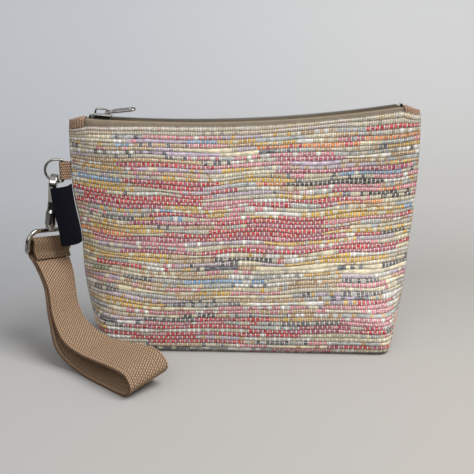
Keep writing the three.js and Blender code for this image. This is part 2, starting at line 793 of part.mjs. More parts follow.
// Sprung lever that closes the claw, with a knob for the thumb on its outer side.
function hookGate() {
  const low = -38 * Math.PI / 180;
  const high_inner = angleAtReach(gate_inner, gate_reach);
  const high_outer = angleAtReach(gate_outer, gate_reach);
  const shape = new THREE.Shape();
  shape.moveTo(gate_outer * Math.cos(high_outer), gate_outer * Math.sin(high_outer));
  shape.absarc(0, 0, gate_outer, high_outer, low, true);
  shape.lineTo(gate_pivot_out + gate_eye * 0.95, -gate_pivot_drop + gate_eye * 0.3);
  shape.absarc(gate_pivot_out, -gate_pivot_drop, gate_eye, 0, Math.PI * 0.8, true);
  shape.lineTo(gate_inner * Math.cos(low), gate_inner * Math.sin(low));
  shape.absarc(0, 0, gate_inner, low, high_inner, false);
  shape.closePath();
  shape.holes.push(
    new THREE.Path().absarc(gate_pivot_out, -gate_pivot_drop, pin_radius + gap, 0, 2 * Math.PI, false),
  );
  const lever = plate(shape, gate_thickness, gate_thickness / 20, 4);
  const knob = new THREE.CylinderGeometry(knob_radius, knob_radius, gate_thickness, 12)
    .rotateX(quarter).translate(knob_out - knob_radius, -knob_drop, 0);
  const reach = gate_eye + overrun;
  const room = span(
    gate_pivot_out - reach, -gate_pivot_drop - reach, -gap,
    gate_pivot_out + reach, -gate_pivot_drop + gate_eye, gate_thickness,
  );
  return inHookPlane(shaped(lever, [knob], [room]));
}

function gatePin() {
  return new THREE.CylinderGeometry(pin_radius, pin_radius, claw_thickness, 12)
    .rotateZ(quarter).translate(0, gate_pivot_out, throat - gate_pivot_drop);
}

// Torsion spring round the pin, in the room beside the gate's eye.
function gateSpring() {
  const radius = pin_radius + gap + spring_wire / 2;
  const start = gate_thickness / 2 - spring_wire / 2;
  class Coil extends THREE.Curve {
    getPoint(t, target = new THREE.Vector3()) {
      const turn = t * spring_turns * 2 * Math.PI;
      return target.set(
        start - t * spring_turns * spring_pitch, Math.cos(turn) * radius, Math.sin(turn) * radius,
      );
    }
  }
  const section = new THREE.Shape().absarc(0, 0, spring_wire / 2, 0, 2 * Math.PI, false);
  return shaped(new THREE.ExtrudeGeometry(section, {
    steps: 26, bevelEnabled: false, extrudePath: new Coil(), curveSegments: 3,
  }), [], []).translate(0, gate_pivot_out, throat - gate_pivot_drop);
}


const collar_top = hook_foot - neck_gap;
const eye_half = eye_wire / 2;
const bow_under = collar_top - collar_length + eye_half / 2;
const bar_height = bow_under - eye_wire - eye_rise;

function eyeOutline(path, grown) {
  const wide = eye_inner_width / 2 + grown;
  const top = eye_rise + grown;
  const low = eye_half - grown;
  const corner = eye_corner + grown;
  const foot = eye_half + grown / 2;
  path.moveTo(-wide + foot, low);
  path.lineTo(wide - foot, low);
  path.quadraticCurveTo(wide, low, wide, low + foot);
  path.lineTo(wide, top - corner);
  path.absarc(wide - corner, top - corner, corner, 0, quarter, false);
  path.lineTo(-wide + corner, top);
  path.absarc(-wide + corner, top - corner, corner, quarter, 2 * quarter, false);
  path.lineTo(-wide, low + foot);
  path.quadraticCurveTo(-wide, low, -wide + foot, low);
  return path;
}

// Cast frame for the webbing, with the stem that turns in the hook's boss.
function swivelEye() {
  const shape = eyeOutline(new THREE.Shape(), eye_wire);
  shape.holes.push(eyeOutline(new THREE.Path(), 0));
  const frame = plate(shape, eye_wire, eye_bevel, 6).rotateX(quarter).translate(0, 0, bar_height);
  const stem_top = cavity_low + gap + head_length;
  const collar_foot = collar_top - collar_length - eye_half;
  const collar = upright(collar_foot, collar_top, eye_half * 1.6, collar_radius, 20);
  const stem = upright(collar_top - eye_half, stem_top - head_length / 2, stem_radius, stem_radius, 16);
  const head = upright(cavity_low + gap, stem_top, head_radius, head_radius * 0.8, 16);
  return shaped(frame, [collar, stem, head], []);
}


// The strap's outline in run and height. The webbing goes over the eye's bar, is sewn to itself
// below it, and forms a loop that comes down to the floor and lies on it.
function strapOutline(bar) {
  const half = strap_thickness / 2;
  const route = new THREE.SplineCurve(
    strap_route_shares.map(([run, height]) => new THREE.Vector2(run * strap_reach, height * bar)),
  );
  const count = 44;
  const outer = [];
  const inner = [];
  for (let n = 0; n <= count; n += 1) {
    const at = route.getPoint(n / count);
    const along = route.getTangent(n / count);
    const normal = new THREE.Vector2(-along.y, along.x);
    outer.push(at.clone().addScaledVector(normal, half));
    inner.push(at.clone().addScaledVector(normal, -half));
  }
  const room = eye_half + strap_play;
  const fold = room + strap_thickness;
  const flap = outer[0].clone().sub(inner[0]);
  const flap_end = outer[0].clone().add(flap);
  const shape = new THREE.Shape();
  shape.moveTo(-fold, bar - eye_half);
  shape.lineTo(-fold, bar + strap_fold);
  shape.absarc(0, bar + strap_fold, fold, 2 * quarter, 0, true);
  shape.lineTo(fold, bar - eye_half);
  shape.lineTo(flap_end.x, flap_end.y);
  for (const p of outer.slice(1, -1)) shape.lineTo(p.x, p.y);
  shape.closePath();
  const bar_hole = new THREE.Path();
  bar_hole.absarc(0, bar + strap_fold, room, 0, 2 * quarter, false);
  bar_hole.absarc(0, bar - gap, room, 2 * quarter, 4 * quarter, false);
  bar_hole.closePath();
  const loop = new THREE.Path();
  loop.setFromPoints(inner.slice(1, -1).reverse());
  loop.closePath();
  shape.holes.push(bar_hole, loop);
  return shape;
}

// Places the outline in the room: it hangs along the eye's bar at the top, twists a little on its way
// down, drifts to the front and lies level on the floor.
function wristStrap(bar_point, bar_axis) {
  const bar = bar_point.z;
  const width_way = new THREE.Vector3(-bar_axis.x, -bar_axis.y, 0).normalize();
  const run_way = new THREE.Vector3(-width_way.y, width_way.x, 0);
  const up = new THREE.Vector3(0, 0, 1);
  const roll = -Math.asin(bar_axis.z);
  const strip = plate(strapOutline(bar), strap_width, 0, 8);
  const smooth = THREE.MathUtils.smoothstep;
  return moved(welded(strip), (point) => {
    const [run, height, across] = [point.x, point.y, point.z];
    const rise = height / bar;
    const far = smooth(run / strap_reach, 0.45, 1);
    const twist = strap_twist * smooth(rise, 0.12, 0.4) * (1 - smooth(rise, 0.62, 1));
    const lift = strap_lift * far * (1 / 2 - across / strap_width);
    const tilt = roll * smooth(rise, 0.25, 0.6);
    const drift = strap_drift * (1 - smooth(rise, 0.15, 0.95))
      + strap_bend * Math.max(run / strap_reach - 1 / 2, 0) * 2;
    const way = width_way.clone().applyAxisAngle(up, twist + strap_fan * far);
    const side = drift - Math.sin(tilt) * Math.max(height - bar, -strap_stitch);
    point.set(bar_point.x, bar_point.y, height + lift + across * Math.sin(tilt));
    point.addScaledVector(run_way, run);
    point.addScaledVector(width_way, side);
    point.addScaledVector(way, across * Math.cos(tilt));
  });
}


function pouchNodes() {
  const woven = () => fabric('#c9bfb0');
  const cotton = () => fabric('#d9cfc0');
  const beige = () => fabric('#b5a184');
  const bronze = () => material('#5b4a35', 0.5, 0.1);
  const tan = () => fabric('#b48f6d');
  return [
    node('front_panel', panel(-1), woven()),
    node('back_panel', panel(1), woven()),
    node('lining_front', lining(-1), cotton()),
    node('lining_back', lining(1), cotton()),
    node('zip_tape_front', zipTape(-1), beige()),
    node('zip_tape_back', zipTape(1), beige()),
    node('zip_coil_front', zipCoil(-1), bronze()),
    node('zip_coil_back', zipCoil(1), bronze()),
    node('zip_top_stop_front', zipTopStop(-1), nickel()),
    node('zip_top_stop_back', zipTopStop(1), nickel()),
    node('zip_bottom_stop', zipBottomStop(), bronze()),
    node('zip_end_tab_left', zipEndTab(-1), tan()),
    node('zip_end_tab_right', zipEndTab(1), tan()),
    node('seam_label', seamLabel(), fabric('#171a2b')),
  ];
}

function sliderGroup() {
  const slider = new THREE.Group();
  slider.position.set(zip_low_place, 0, zip_centre);
  slider.rotation.y = -slider_turn;
  const carried = new THREE.Group();
  carried.position.set(0, 0, -zip_sag_radius);
  const pull = new THREE.Group();
  pull.position.set(pull_axis_place, 0, pull_axis_height);
  pull.rotation.y = -pull_tilt;
  pull.add(node('pull_tab', pullTab(), nickel()));
  carried.add(node('slider_body', sliderBody(), nickel()), pull);
  slider.add(carried);
  return slider;
}

function ringGroup() {
  const ring = new THREE.Group();
  ring.position.set(ring_place, 0, ring_level);
  ring.add(node('side_tab', sideTab(), fabric('#b48f6d')), node('d_ring', dRing(), nickel()));
  return ring;
}

function hookGroup() {
  const hook = new THREE.Group();
  hook.position.set(
    bow_centre - bow_radius * Math.sin(hook_ride),
    0,
    ring_level - bow_radius * Math.cos(hook_ride),
  );
  hook.rotation.set(hook_lean, hook_tilt, 0, 'YXZ');
  const eye = node('swivel_eye', swivelEye(), nickel());
  eye.rotation.z = eye_yaw;
  hook.add(
    node('hook_body', hookBody(), nickel()),
    node('hook_gate', hookGate(), nickel()),
    node('gate_pin', gatePin(), material('#8f9296', 0.35, 1)),
    node('gate_spring', gateSpring(), material('#9a9da2', 0.3, 1)),
    eye,
  );
  return hook;
}

// The strap is built in the pouch's frame, from where the hook holds the eye's bar.
function strapNode(hook) {
  hook.updateMatrixWorld(true);
  const bar_point = new THREE.Vector3(0, 0, bar_height).applyMatrix4(hook.matrixWorld);
  const bar_axis = new THREE.Vector3(Math.cos(eye_yaw), Math.sin(eye_yaw), 0)
    .transformDirection(hook.matrixWorld);
  return node('wrist_strap', wristStrap(bar_point, bar_axis), fabric('#b0917a'));
}

const wristlet = new THREE.Group();
const hook = hookGroup();
wristlet.add(...pouchNodes(), sliderGroup(), ringGroup(), hook, strapNode(hook));

export default wristlet;
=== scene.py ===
"""Looks of a zip pouch wristlet: woven strip cloth, a coil zip, webbing and nickel fittings.

Every soft piece is worked out on a grid from the sizes of the part, so that it lies where its solid
lies. Its sizes are millimetres until a mesh is made, and those of the studio are metres.
"""

import json
import logging
import math
from dataclasses import dataclass, field
from enum import Enum

import bmesh
import bpy
import numpy as np
from mathutils import Matrix, Vector


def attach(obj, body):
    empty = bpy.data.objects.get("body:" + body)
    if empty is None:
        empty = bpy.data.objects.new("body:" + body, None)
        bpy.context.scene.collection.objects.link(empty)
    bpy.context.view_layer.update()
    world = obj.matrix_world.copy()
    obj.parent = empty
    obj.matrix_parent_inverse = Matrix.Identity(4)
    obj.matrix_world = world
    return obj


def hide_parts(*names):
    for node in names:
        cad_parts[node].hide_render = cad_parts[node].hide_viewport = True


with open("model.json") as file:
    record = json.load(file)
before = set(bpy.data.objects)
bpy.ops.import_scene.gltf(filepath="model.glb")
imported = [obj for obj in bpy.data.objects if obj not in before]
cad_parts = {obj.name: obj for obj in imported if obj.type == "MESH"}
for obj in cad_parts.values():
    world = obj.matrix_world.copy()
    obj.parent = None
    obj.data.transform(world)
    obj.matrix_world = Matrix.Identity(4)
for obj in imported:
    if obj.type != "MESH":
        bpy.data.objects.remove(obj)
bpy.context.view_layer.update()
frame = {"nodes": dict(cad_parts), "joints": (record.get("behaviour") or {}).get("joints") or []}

LOG = logging.getLogger("wristlet")
MM = 0.001
Array = np.ndarray
Pairs = tuple[tuple[float, float], ...]


class Tint(Enum):
    """Colours of the woven strips, as sRGB hex."""

    NATURAL = "#c3b79b"
    CREAM = "#e2d5b1"
    GREY = "#abaeab"
    WHITE = "#efece4"
    LILAC = "#bda9bc"
    BEIGE = "#c29a68"
    ROSE = "#dc7f8c"
    RED = "#cf0f26"
    MAGENTA = "#b53a62"
    MUSTARD = "#dca91e"
    ORANGE = "#ee8a34"
    SKY = "#7fabd6"
    GREEN = "#7d9158"
    SLATE = "#56565f"
    BLACK = "#141216"


class Side(Enum):
    """The two halves of the pouch, by the sign of Y."""

    FRONT = -1
    BACK = 1


def linear(hex_colour: str) -> tuple[float, float, float, float]:
    """An sRGB hex colour as linear red, green, blue and alpha.

    Args:
        hex_colour: six hex digits after a hash sign.

    Returns:
        The four numbers, alpha 1.
    """
    value = np.array([int(hex_colour[k:k + 2], 16) for k in (1, 3, 5)]) / 255
    value = np.where(value <= 0.04045, value / 12.92, ((value + 0.055) / 1.055) ** 2.4)
    return (*(float(v) for v in value), 1.0)


def smooth(value: Array, low: float, high: float) -> Array:
    """Smoothstep of a value between two limits."""
    t = np.clip((value - low) / (high - low), 0, 1)
    return t * t * (3 - 2 * t)


def value_at(table: Pairs, place: Array) -> Array:
    """Values of a table at places, along the cubic through its points with chord slopes.

    Args:
        table: pairs of place and value, in order.
        place: where to read it.

    Returns:
        One value per place.
    """
    xs, ys = np.array(table, float).T
    place = np.asarray(place, float)
    k = np.searchsorted(xs[1:-1], place, side="left")
    before, after = np.maximum(k - 1, 0), np.minimum(k + 2, len(xs) - 1)
    gap = xs[k + 1] - xs[k]
    m0 = (ys[k + 1] - ys[before]) / (xs[k + 1] - xs[before]) * gap
    m1 = (ys[after] - ys[k]) / (xs[after] - xs[k]) * gap
    t = np.clip((place - xs[k]) / gap, 0, 1)
    t2, t3 = t * t, t * t * t
    return ((2 * t3 - 3 * t2 + 1) * ys[k] + (t3 - 2 * t2 + t) * m0
            + (3 * t2 - 2 * t3) * ys[k + 1] + (t3 - t2) * m1)


def spline(points: Array, count: int) -> Array:
    """Points along the uniform Catmull-Rom curve through some points.

    Args:
        points: one row per point.
        count: how many points come back.

    Returns:
        An array of count rows, evenly spaced in the curve's own parameter.
    """
    points = np.asarray(points, float)
    last = len(points) - 1
    place = np.linspace(0, last, count)
    k = np.minimum(place.astype(int), last - 1)
    t = (place - k)[:, None]
    p0, p1 = points[np.maximum(k - 1, 0)], points[k]
    p2, p3 = points[k + 1], points[np.minimum(k + 2, last)]
    v0, v1 = (p2 - p0) / 2, (p3 - p1) / 2
    return ((2 * p1 - 2 * p2 + v0 + v1) * t ** 3 + (-3 * p1 + 3 * p2 - 2 * v0 - v1) * t ** 2
            + v0 * t + p1)


def even(points: Array, count: int) -> Array:
    """The same polyline with count points evenly spaced along its length.

    Args:
        points: one row per point.
        count: how many points come back.

    Returns:
        An array of count rows.
    """
    run = lengths(points)
    want = np.linspace(0, run[-1], count)
    return np.stack([np.interp(want, run, points[:, n]) for n in range(points.shape[1])], axis=1)


def lengths(points: Array) -> Array:
    """Distance run along a polyline at each of its points."""
    step = np.linalg.norm(np.diff(points, axis=0), axis=1)
    return np.concatenate([[0.0], np.cumsum(step)])


def path_normals(path: Array) -> Array:
    """Unit normals of a flat polyline, each a quarter turn left of its course.

    Args:
        path: one row of two numbers per point.

    Returns:
        One row of two numbers per point.
    """
    along = np.gradient(path, axis=0)
    along /= np.linalg.norm(along, axis=1, keepdims=True)
    return np.stack([-along[:, 1], along[:, 0]], axis=1)


def ripple(rng: np.random.Generator, place: Array, waves: tuple[float, ...]) -> Array:
    """Smooth noise between about -1 and 1: a sum of sines of the given wavelengths with drawn phases.

    Args:
        rng: where the drawn numbers come from.
        place: places along the cloth, any shape.
        waves: the wavelengths, in the places' unit.

    Returns:
        One value per place.
    """
    total = np.zeros_like(place, dtype=float)
    for wave in waves:
        total += np.sin(2 * np.pi * (place / (wave * rng.uniform(0.85, 1.15)) + rng.random()))
    return total / len(waves)


def grid_faces(rows: int, columns: int, wrap_rows: bool = False, wrap_columns: bool = False) -> Array:
    """Quads of a grid of points stored row by row.

    Args:
        rows: number of rows of points.
        columns: number of points in a row.
        wrap_rows: the last row joins the first.
        wrap_columns: the last column joins the first.

    Returns:
        One row of four point numbers per quad.
    """
    r = np.arange(rows if wrap_rows else rows - 1)[:, None]
    c = np.arange(columns if wrap_columns else columns - 1)[None, :]
    r1, c1 = (r + 1) % rows, (c + 1) % columns
    corners = [r * columns + c, r * columns + c1, r1 * columns + c1, r1 * columns + c]
    return np.stack([np.broadcast_to(n, (r.size, c.size)) for n in corners], axis=-1).reshape(-1, 4)


def closed_tube(points: Array) -> list[list[int]]:
    """Quads of a grid whose columns wrap into a flat tube, with both end rows closed face to face.

    Args:
        points: rows of points, the first half of each row on one face.

    Returns:
        The faces, as lists of point numbers.
    """
    rows, count = points.shape[:2]
    faces = grid_faces(rows, count, wrap_columns=True).tolist()
    for start in (0, (rows - 1) * count):
        for n in range(count // 2 - 1):
            faces.append([start + n, start + n + 1, start + count - 2 - n, start + count - 1 - n])
    return faces


def closed_bag(points: Array) -> list[list[int]]:
    """Quads of a grid whose rows wrap into a flat bag, with both end columns closed face to face.

    Args:
        points: rows of points, the first half of the rows on one face.

    Returns:
        The faces, as lists of point numbers.
    """
    rows, count = points.shape[:2]
    faces = grid_faces(rows, count, wrap_rows=True).tolist()
    for column in (0, count - 1):
        for r in range(rows // 2 - 1):
            faces.append([n * count + column for n in (r, r + 1, rows - 2 - r, rows - 1 - r)])
    return faces


def make_piece(name: str, points: Array, faces: list, finish: bpy.types.Material, body: str,
               uv: Array | None = None, tints: Array | None = None) -> bpy.types.Object:
    """Makes a closed piece with its faces turned outward, dresses it and lets it ride on a body.

    Args:
        name: the piece's name.
        points: its points in millimetres, any shape that ends in 3.
        faces: its faces, as lists of point numbers.
        finish: its material.
        body: the body that it moves with.
        uv: one pair per point, for patterns that follow the surface.
        tints: one linear colour per face, for the strips of the weave.

    Returns:
        The new object, at the origin.
    """
    mesh = bpy.data.meshes.new(name)
    mesh.from_pydata((np.asarray(points, float).reshape(-1, 3) * MM).tolist(), [], faces)
    turned = bmesh.new()
    turned.from_mesh(mesh)
    bmesh.ops.recalc_face_normals(turned, faces=turned.faces)
    turned.to_mesh(mesh)
    turned.free()
    if uv is not None:
        corner = np.empty(len(mesh.loops), np.int32)
        mesh.loops.foreach_get("vertex_index", corner)
        layer = mesh.uv_layers.new(name="Weave")
        layer.data.foreach_set("uv", np.asarray(uv, np.float32).reshape(-1, 2)[corner].ravel())
    if tints is not None:
        sides = np.empty(len(mesh.polygons), np.int32)
        mesh.polygons.foreach_get("loop_total", sides)
        layer = mesh.color_attributes.new(name="Strip", type="FLOAT_COLOR", domain="CORNER")
        layer.data.foreach_set("color", np.repeat(tints, sides, axis=0).astype(np.float32).ravel())
    mesh.polygons.foreach_set("use_smooth", np.ones(len(mesh.polygons), bool))
    mesh.materials.append(finish)
    mesh.validate()
    piece = bpy.data.objects.new(name, mesh)
    bpy.context.scene.collection.objects.link(piece)
    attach(piece, body)
    LOG.info("%s: %d faces", name, len(mesh.polygons))
    return piece


def add_node(tree: bpy.types.NodeTree, kind: str, inputs: dict | None = None,
             **settings: object) -> bpy.types.Node:
    """Adds one node.

    Args:
        tree: the material's or the world's node tree.
        kind: the node's type name.
        inputs: a value or another node's output for each input, by name or number.
        settings: the node's own settings.

    Returns:
        The new node.
    """
    new = tree.nodes.new(kind)
    for name, value in settings.items():
        setattr(new, name, value)
    for name, value in (inputs or {}).items():
        if isinstance(value, bpy.types.NodeSocket):
            tree.links.new(value, new.inputs[name])
        else:
            new.inputs[name].default_value = value
    return new


def sums(tree: bpy.types.NodeTree, operation: str, *values: object) -> bpy.types.NodeSocket:
    """The output of one Math node on sockets or numbers."""
    inputs = dict(enumerate(values))
    return add_node(tree, "ShaderNodeMath", inputs, operation=operation).outputs[0]


def mixed(tree: bpy.types.NodeTree, share: object, first: object, second: object,
          blend: str = "MIX") -> bpy.types.NodeSocket:
    """The output of one colour Mix node.

    Args:
        tree: the node tree.
        share: how much of the second colour shows, 0 to 1.
        first: a colour or a socket.
        second: a colour or a socket.
        blend: the node's blend type.

    Returns:
        The node's colour output.
    """
    node = add_node(tree, "ShaderNodeMix", data_type="RGBA", blend_type=blend)
    for number, value in ((0, share), (6, first), (7, second)):
        if isinstance(value, bpy.types.NodeSocket):
            tree.links.new(value, node.inputs[number])
        else:
            node.inputs[number].default_value = value
    return node.outputs[2]


def ramp(tree: bpy.types.NodeTree, value: object, low: float, high: float,
         start: float = 0.0, end: float = 1.0) -> bpy.types.NodeSocket:
    """A value carried from one range to another and held at its ends."""
    names = {"Value": value, "From Min": low, "From Max": high, "To Min": start, "To Max": end}
    return add_node(tree, "ShaderNodeMapRange", names).outputs[0]


def noise(tree: bpy.types.NodeTree, place: object, per_metre: float, detail: float = 2.0,
          stretch: tuple[float, float, float] = (1, 1, 1)) -> bpy.types.NodeSocket:
    """Noise with a number of features per unit of its place, stretched along an axis if asked.

    Args:
        tree: the node tree.
        place: the socket that it is read at.
        per_metre: features per unit of the place.
        detail: octaves of finer noise.
        stretch: scale along each axis.

    Returns:
        The noise, 0 to 1.
    """
    mapping = add_node(tree, "ShaderNodeMapping", {"Vector": place, "Scale": stretch})
    inputs = {"Vector": mapping.outputs[0], "Scale": per_metre, "Detail": detail}
    return add_node(tree, "ShaderNodeTexNoise", inputs).outputs["Fac"]


@dataclass(frozen=True)
class Finish:
    """What every finish starts from: a name, a colour, its gloss and how far it is metal."""

    name: str
    colour: str
    roughness: float = 0.85
    metallic: float = 0.0
    specular: float = 0.5

    def start(self) -> tuple[bpy.types.Material, bpy.types.NodeTree, bpy.types.Node]:
        """A new material with its tree and its shader, with the plain values set.

        Returns:
            The material, its node tree and its Principled shader.
        """
        material = bpy.data.materials.new(self.name)
        material.use_nodes = True
        tree = material.node_tree
        shader = tree.nodes["Principled BSDF"]
        shader.inputs["Base Color"].default_value = linear(self.colour)
        shader.inputs["Roughness"].default_value = self.roughness
        shader.inputs["Metallic"].default_value = self.metallic
        shader.inputs["Specular IOR Level"].default_value = self.specular
        return material, tree, shader

    @staticmethod
    def bump(tree: bpy.types.NodeTree, shader: bpy.types.Node, height: object, depth: float) -> None:
        """Gives the shader a bump of a depth in millimetres."""
        inputs = {"Height": height, "Distance": depth * MM, "Strength": 1.0}
        tree.links.new(add_node(tree, "ShaderNodeBump", inputs).outputs[0], shader.inputs["Normal"])

    @staticmethod
    def place(tree: bpy.types.NodeTree, name: str = "Object") -> bpy.types.NodeSocket:
        """Object coordinates in metres, or the piece's UV."""
        return add_node(tree, "ShaderNodeTexCoord").outputs[name]


@dataclass(frozen=True)
class StripWeave(Finish):
    """Cut plastic strips packed on pale cotton warp: soft gloss, painted shade between rows, thread over
    each.
    """

    thread: str = "#f1e7d6"
    thread_shade: str = "#b7a58f"
    thread_share: float = 0.125
    # Painted highlight on the crests of the strips' crinkles.
    crest_highlight: str = "#f6f1ee"
    # Painted shade in the creases of the crinkles.
    crease_shade: str = "#5d4a41"
    # Painted shade in the valleys between the rows of strip.
    hollow_shade: str = "#2b211c"
    # Painted shade in the slits beside each warp thread.
    thread_edge_shade: str = "#221a17"

    def make(self) -> bpy.types.Material:
        """Strip colour from the mesh, with the warp thread drawn over it where it passes on top.

        Returns:
            The material.
        """
        material, tree, shader = self.start()
        uv = self.place(tree, "UV")
        part = add_node(tree, "ShaderNodeSeparateXYZ", {"Vector": uv})
        across, along = part.outputs[0], part.outputs[1]
        odd = sums(tree, "MULTIPLY", sums(tree, "MODULO", sums(tree, "FLOOR", along), 2.0), 0.5)
        ragged = noise(tree, uv, 1.0, 2.0, (2.3, 3.1, 1))
        lean = ramp(tree, ragged, 0.25, 0.75, -0.09, 0.09)
        shifted = sums(tree, "ADD", sums(tree, "ADD", across, lean), sums(tree, "ADD", odd, 0.5))
        turn = sums(tree, "FRACT", shifted)
        away = sums(tree, "ABSOLUTE", sums(tree, "SUBTRACT", turn, 0.5))
        strip_node = add_node(tree, "ShaderNodeVertexColor", layer_name="Strip")
        strip, shown = strip_node.outputs[0], strip_node.outputs[1]
        thread = ramp(tree, away, self.thread_share * 0.6, self.thread_share * 1.15, 1.0, 0.0)
        middle = sums(tree, "ABSOLUTE", sums(tree, "SUBTRACT", sums(tree, "FRACT", along), 0.5))
        valley = ramp(tree, middle, 0.26, 0.5)
        crease = noise(tree, uv, 1.0, 4.0, (0.8, 6.0, 1))
        # Painted highlights on the crinkles' crests and painted shade in their creases, from the noise that
        # also makes the bump.
        lit = mixed(tree, ramp(tree, crease, 0.46, 0.66, 0.0, 0.5), strip, linear(self.crest_highlight))
        crease_shaded = mixed(tree, ramp(tree, crease, 0.48, 0.34, 0.0, 0.4), lit, linear(self.crease_shade), "MULTIPLY")
        # Painted shade in the valleys where the rows of strip meet.
        dim = mixed(tree, sums(tree, "MULTIPLY", valley, 0.6), crease_shaded, linear(self.hollow_shade), "MULTIPLY")
        # Painted shade in the slits on both sides of each warp thread where it shows.
        edge = ramp(tree, away, self.thread_share * 1.1, self.thread_share * 1.9, 0.88, 0.0)
        edge = sums(tree, "MULTIPLY", edge, shown)
        dim = mixed(tree, edge, dim, linear(self.thread_edge_shade), "MULTIPLY")
        shade = ramp(tree, ragged, 0.3, 0.7, 0.0, 0.35)
        tone = mixed(tree, shade, linear(self.thread), linear(self.thread_shade))
        over = sums(tree, "MULTIPLY", thread, ramp(tree, middle, 0.34, 0.5, 1.0, 0.25))
        over = sums(tree, "MULTIPLY", over, shown)
        tree.links.new(mixed(tree, over, dim, tone), shader.inputs["Base Color"])
        tree.links.new(ramp(tree, over, 0.0, 1.0, self.roughness, 0.9), shader.inputs["Roughness"])
        height = sums(tree, "ADD", sums(tree, "MULTIPLY", over, 0.8), sums(tree, "MULTIPLY", crease, 0.9))
        self.bump(tree, shader, height, 0.4)
        return material


@dataclass(frozen=True)
class CottonWebbing(Finish):
    """Cotton webbing: soft matt yarns that lie in columns of small slanted stitches.

    Its first millimetres, the sewn flap, are darker: painted shade, as the flap faces down.
    """

    # Painted shade in the grooves between the stitches and the columns.
    groove_shade: str = "#4f3a2b"
    stitch: float = 1.9
    warm: str = "#c2a384"
    # Painted shade on the sewn flap, which faces down: this tone darkens it.
    flap_shade_tone: str = "#5e4431"
    # How far along the band the flap's painted shade reaches, in mm; 0 for none.
    flap_shade_reach: float = 0.0

    def make(self) -> bpy.types.Material:
        """Stitches from the piece's UV: U counts the columns and V the millimetres along them.

        Returns:
            The material.
        """
        material, tree, shader = self.start()
        uv = self.place(tree, "UV")
        part = add_node(tree, "ShaderNodeSeparateXYZ", {"Vector": uv})
        across, along = part.outputs[0], part.outputs[1]
        share = sums(tree, "FRACT", across)
        middle = sums(tree, "ABSOLUTE", sums(tree, "SUBTRACT", share, 0.5))
        lean = sums(tree, "MULTIPLY", across, 0.5)
        slant = sums(tree, "ADD", sums(tree, "DIVIDE", along, self.stitch), lean)
        wave = sums(tree, "ABSOLUTE", sums(tree, "SINE", sums(tree, "MULTIPLY", slant, math.pi)))
        dip = sums(tree, "MAXIMUM", ramp(tree, wave, 0.1, 0.7, 1.0, 0.0), ramp(tree, middle, 0.3, 0.48))
        fibre = noise(tree, uv, 2.4, 3.0, (3.0, 1.2, 1))
        yarn = mixed(tree, ramp(tree, fibre, 0.32, 0.7), linear(self.colour), linear(self.warm))
        # Painted shade: the first millimetres along the band, the sewn flap, are darkened.
        if self.flap_shade_reach:
            flap_shaded = ramp(tree, along, self.flap_shade_reach, self.flap_shade_reach + 2, 0.42, 0.0)
            yarn = mixed(tree, flap_shaded, yarn, linear(self.flap_shade_tone), "MULTIPLY")
        # Painted shade in the grooves, where the bump is low.
        deep = sums(tree, "MULTIPLY", dip, 0.85)
        tree.links.new(mixed(tree, deep, yarn, linear(self.groove_shade)), shader.inputs["Base Color"])
        height = sums(tree, "SUBTRACT", sums(tree, "MULTIPLY", fibre, 0.35), dip)
        self.bump(tree, shader, height, 0.5)
        return material


@dataclass(frozen=True)
class PlainCloth(Finish):
    """Fine plain cloth, such as lining cotton, zip tape or a woven label: threads under a millimetre."""

    thread_pitch: float = 0.7
    depth: float = 0.1
    # Depth of the painted shade in the hollows between the threads.
    dark: float = 0.25

    def make(self) -> bpy.types.Material:
        """Crossed threads on Object coordinates, each a real pitch apart.

        Returns:
            The material.
        """
        material, tree, shader = self.start()
        part = add_node(tree, "ShaderNodeSeparateXYZ", {"Vector": self.place(tree)})
        turns = 2 * math.pi / (self.thread_pitch * MM)
        run = sums(tree, "SINE", sums(tree, "MULTIPLY", part.outputs[0], turns))
        rise = sums(tree, "SINE", sums(tree, "MULTIPLY", part.outputs[2], turns))
        weave = sums(tree, "MULTIPLY", run, rise)
        blotch = noise(tree, self.place(tree), 240.0, 2.0)
        # Painted shade in the hollows of the weave, where the bump is low; the blotches are random tone.
        hollow_shade = ramp(tree, weave, -1.0, 1.0, self.dark, 0.0)
        shade = sums(tree, "ADD", hollow_shade, ramp(tree, blotch, 0.3, 0.7, 0.12, 0.0))
        tone = mixed(tree, shade, linear(self.colour), (0.0, 0.0, 0.0, 1.0))
        tree.links.new(tone, shader.inputs["Base Color"])
        self.bump(tree, shader, weave, self.depth)
        return material


@dataclass(frozen=True)
class PlatedMetal(Finish):
    """Nickel plate on zinc die casting: bright, a little wavy, with fine rub marks."""

    worn: str = "#8d8983"

    def make(self) -> bpy.types.Material:
        """Even plate with hairline rub marks in its gloss.

        Returns:
            The material.
        """
        material, tree, shader = self.start()
        marks = noise(tree, self.place(tree), 900.0, 4.0, (1, 1, 6))
        gloss = ramp(tree, marks, 0.35, 0.75, self.roughness * 0.75, self.roughness * 1.5)
        tree.links.new(gloss, shader.inputs["Roughness"])
        rubbed = ramp(tree, marks, 0.45, 0.8, 0.0, 0.25)
        tone = mixed(tree, rubbed, linear(self.colour), linear(self.worn))
        tree.links.new(tone, shader.inputs["Base Color"])
        self.bump(tree, shader, noise(tree, self.place(tree), 260.0, 1.0), 0.04)
        return material


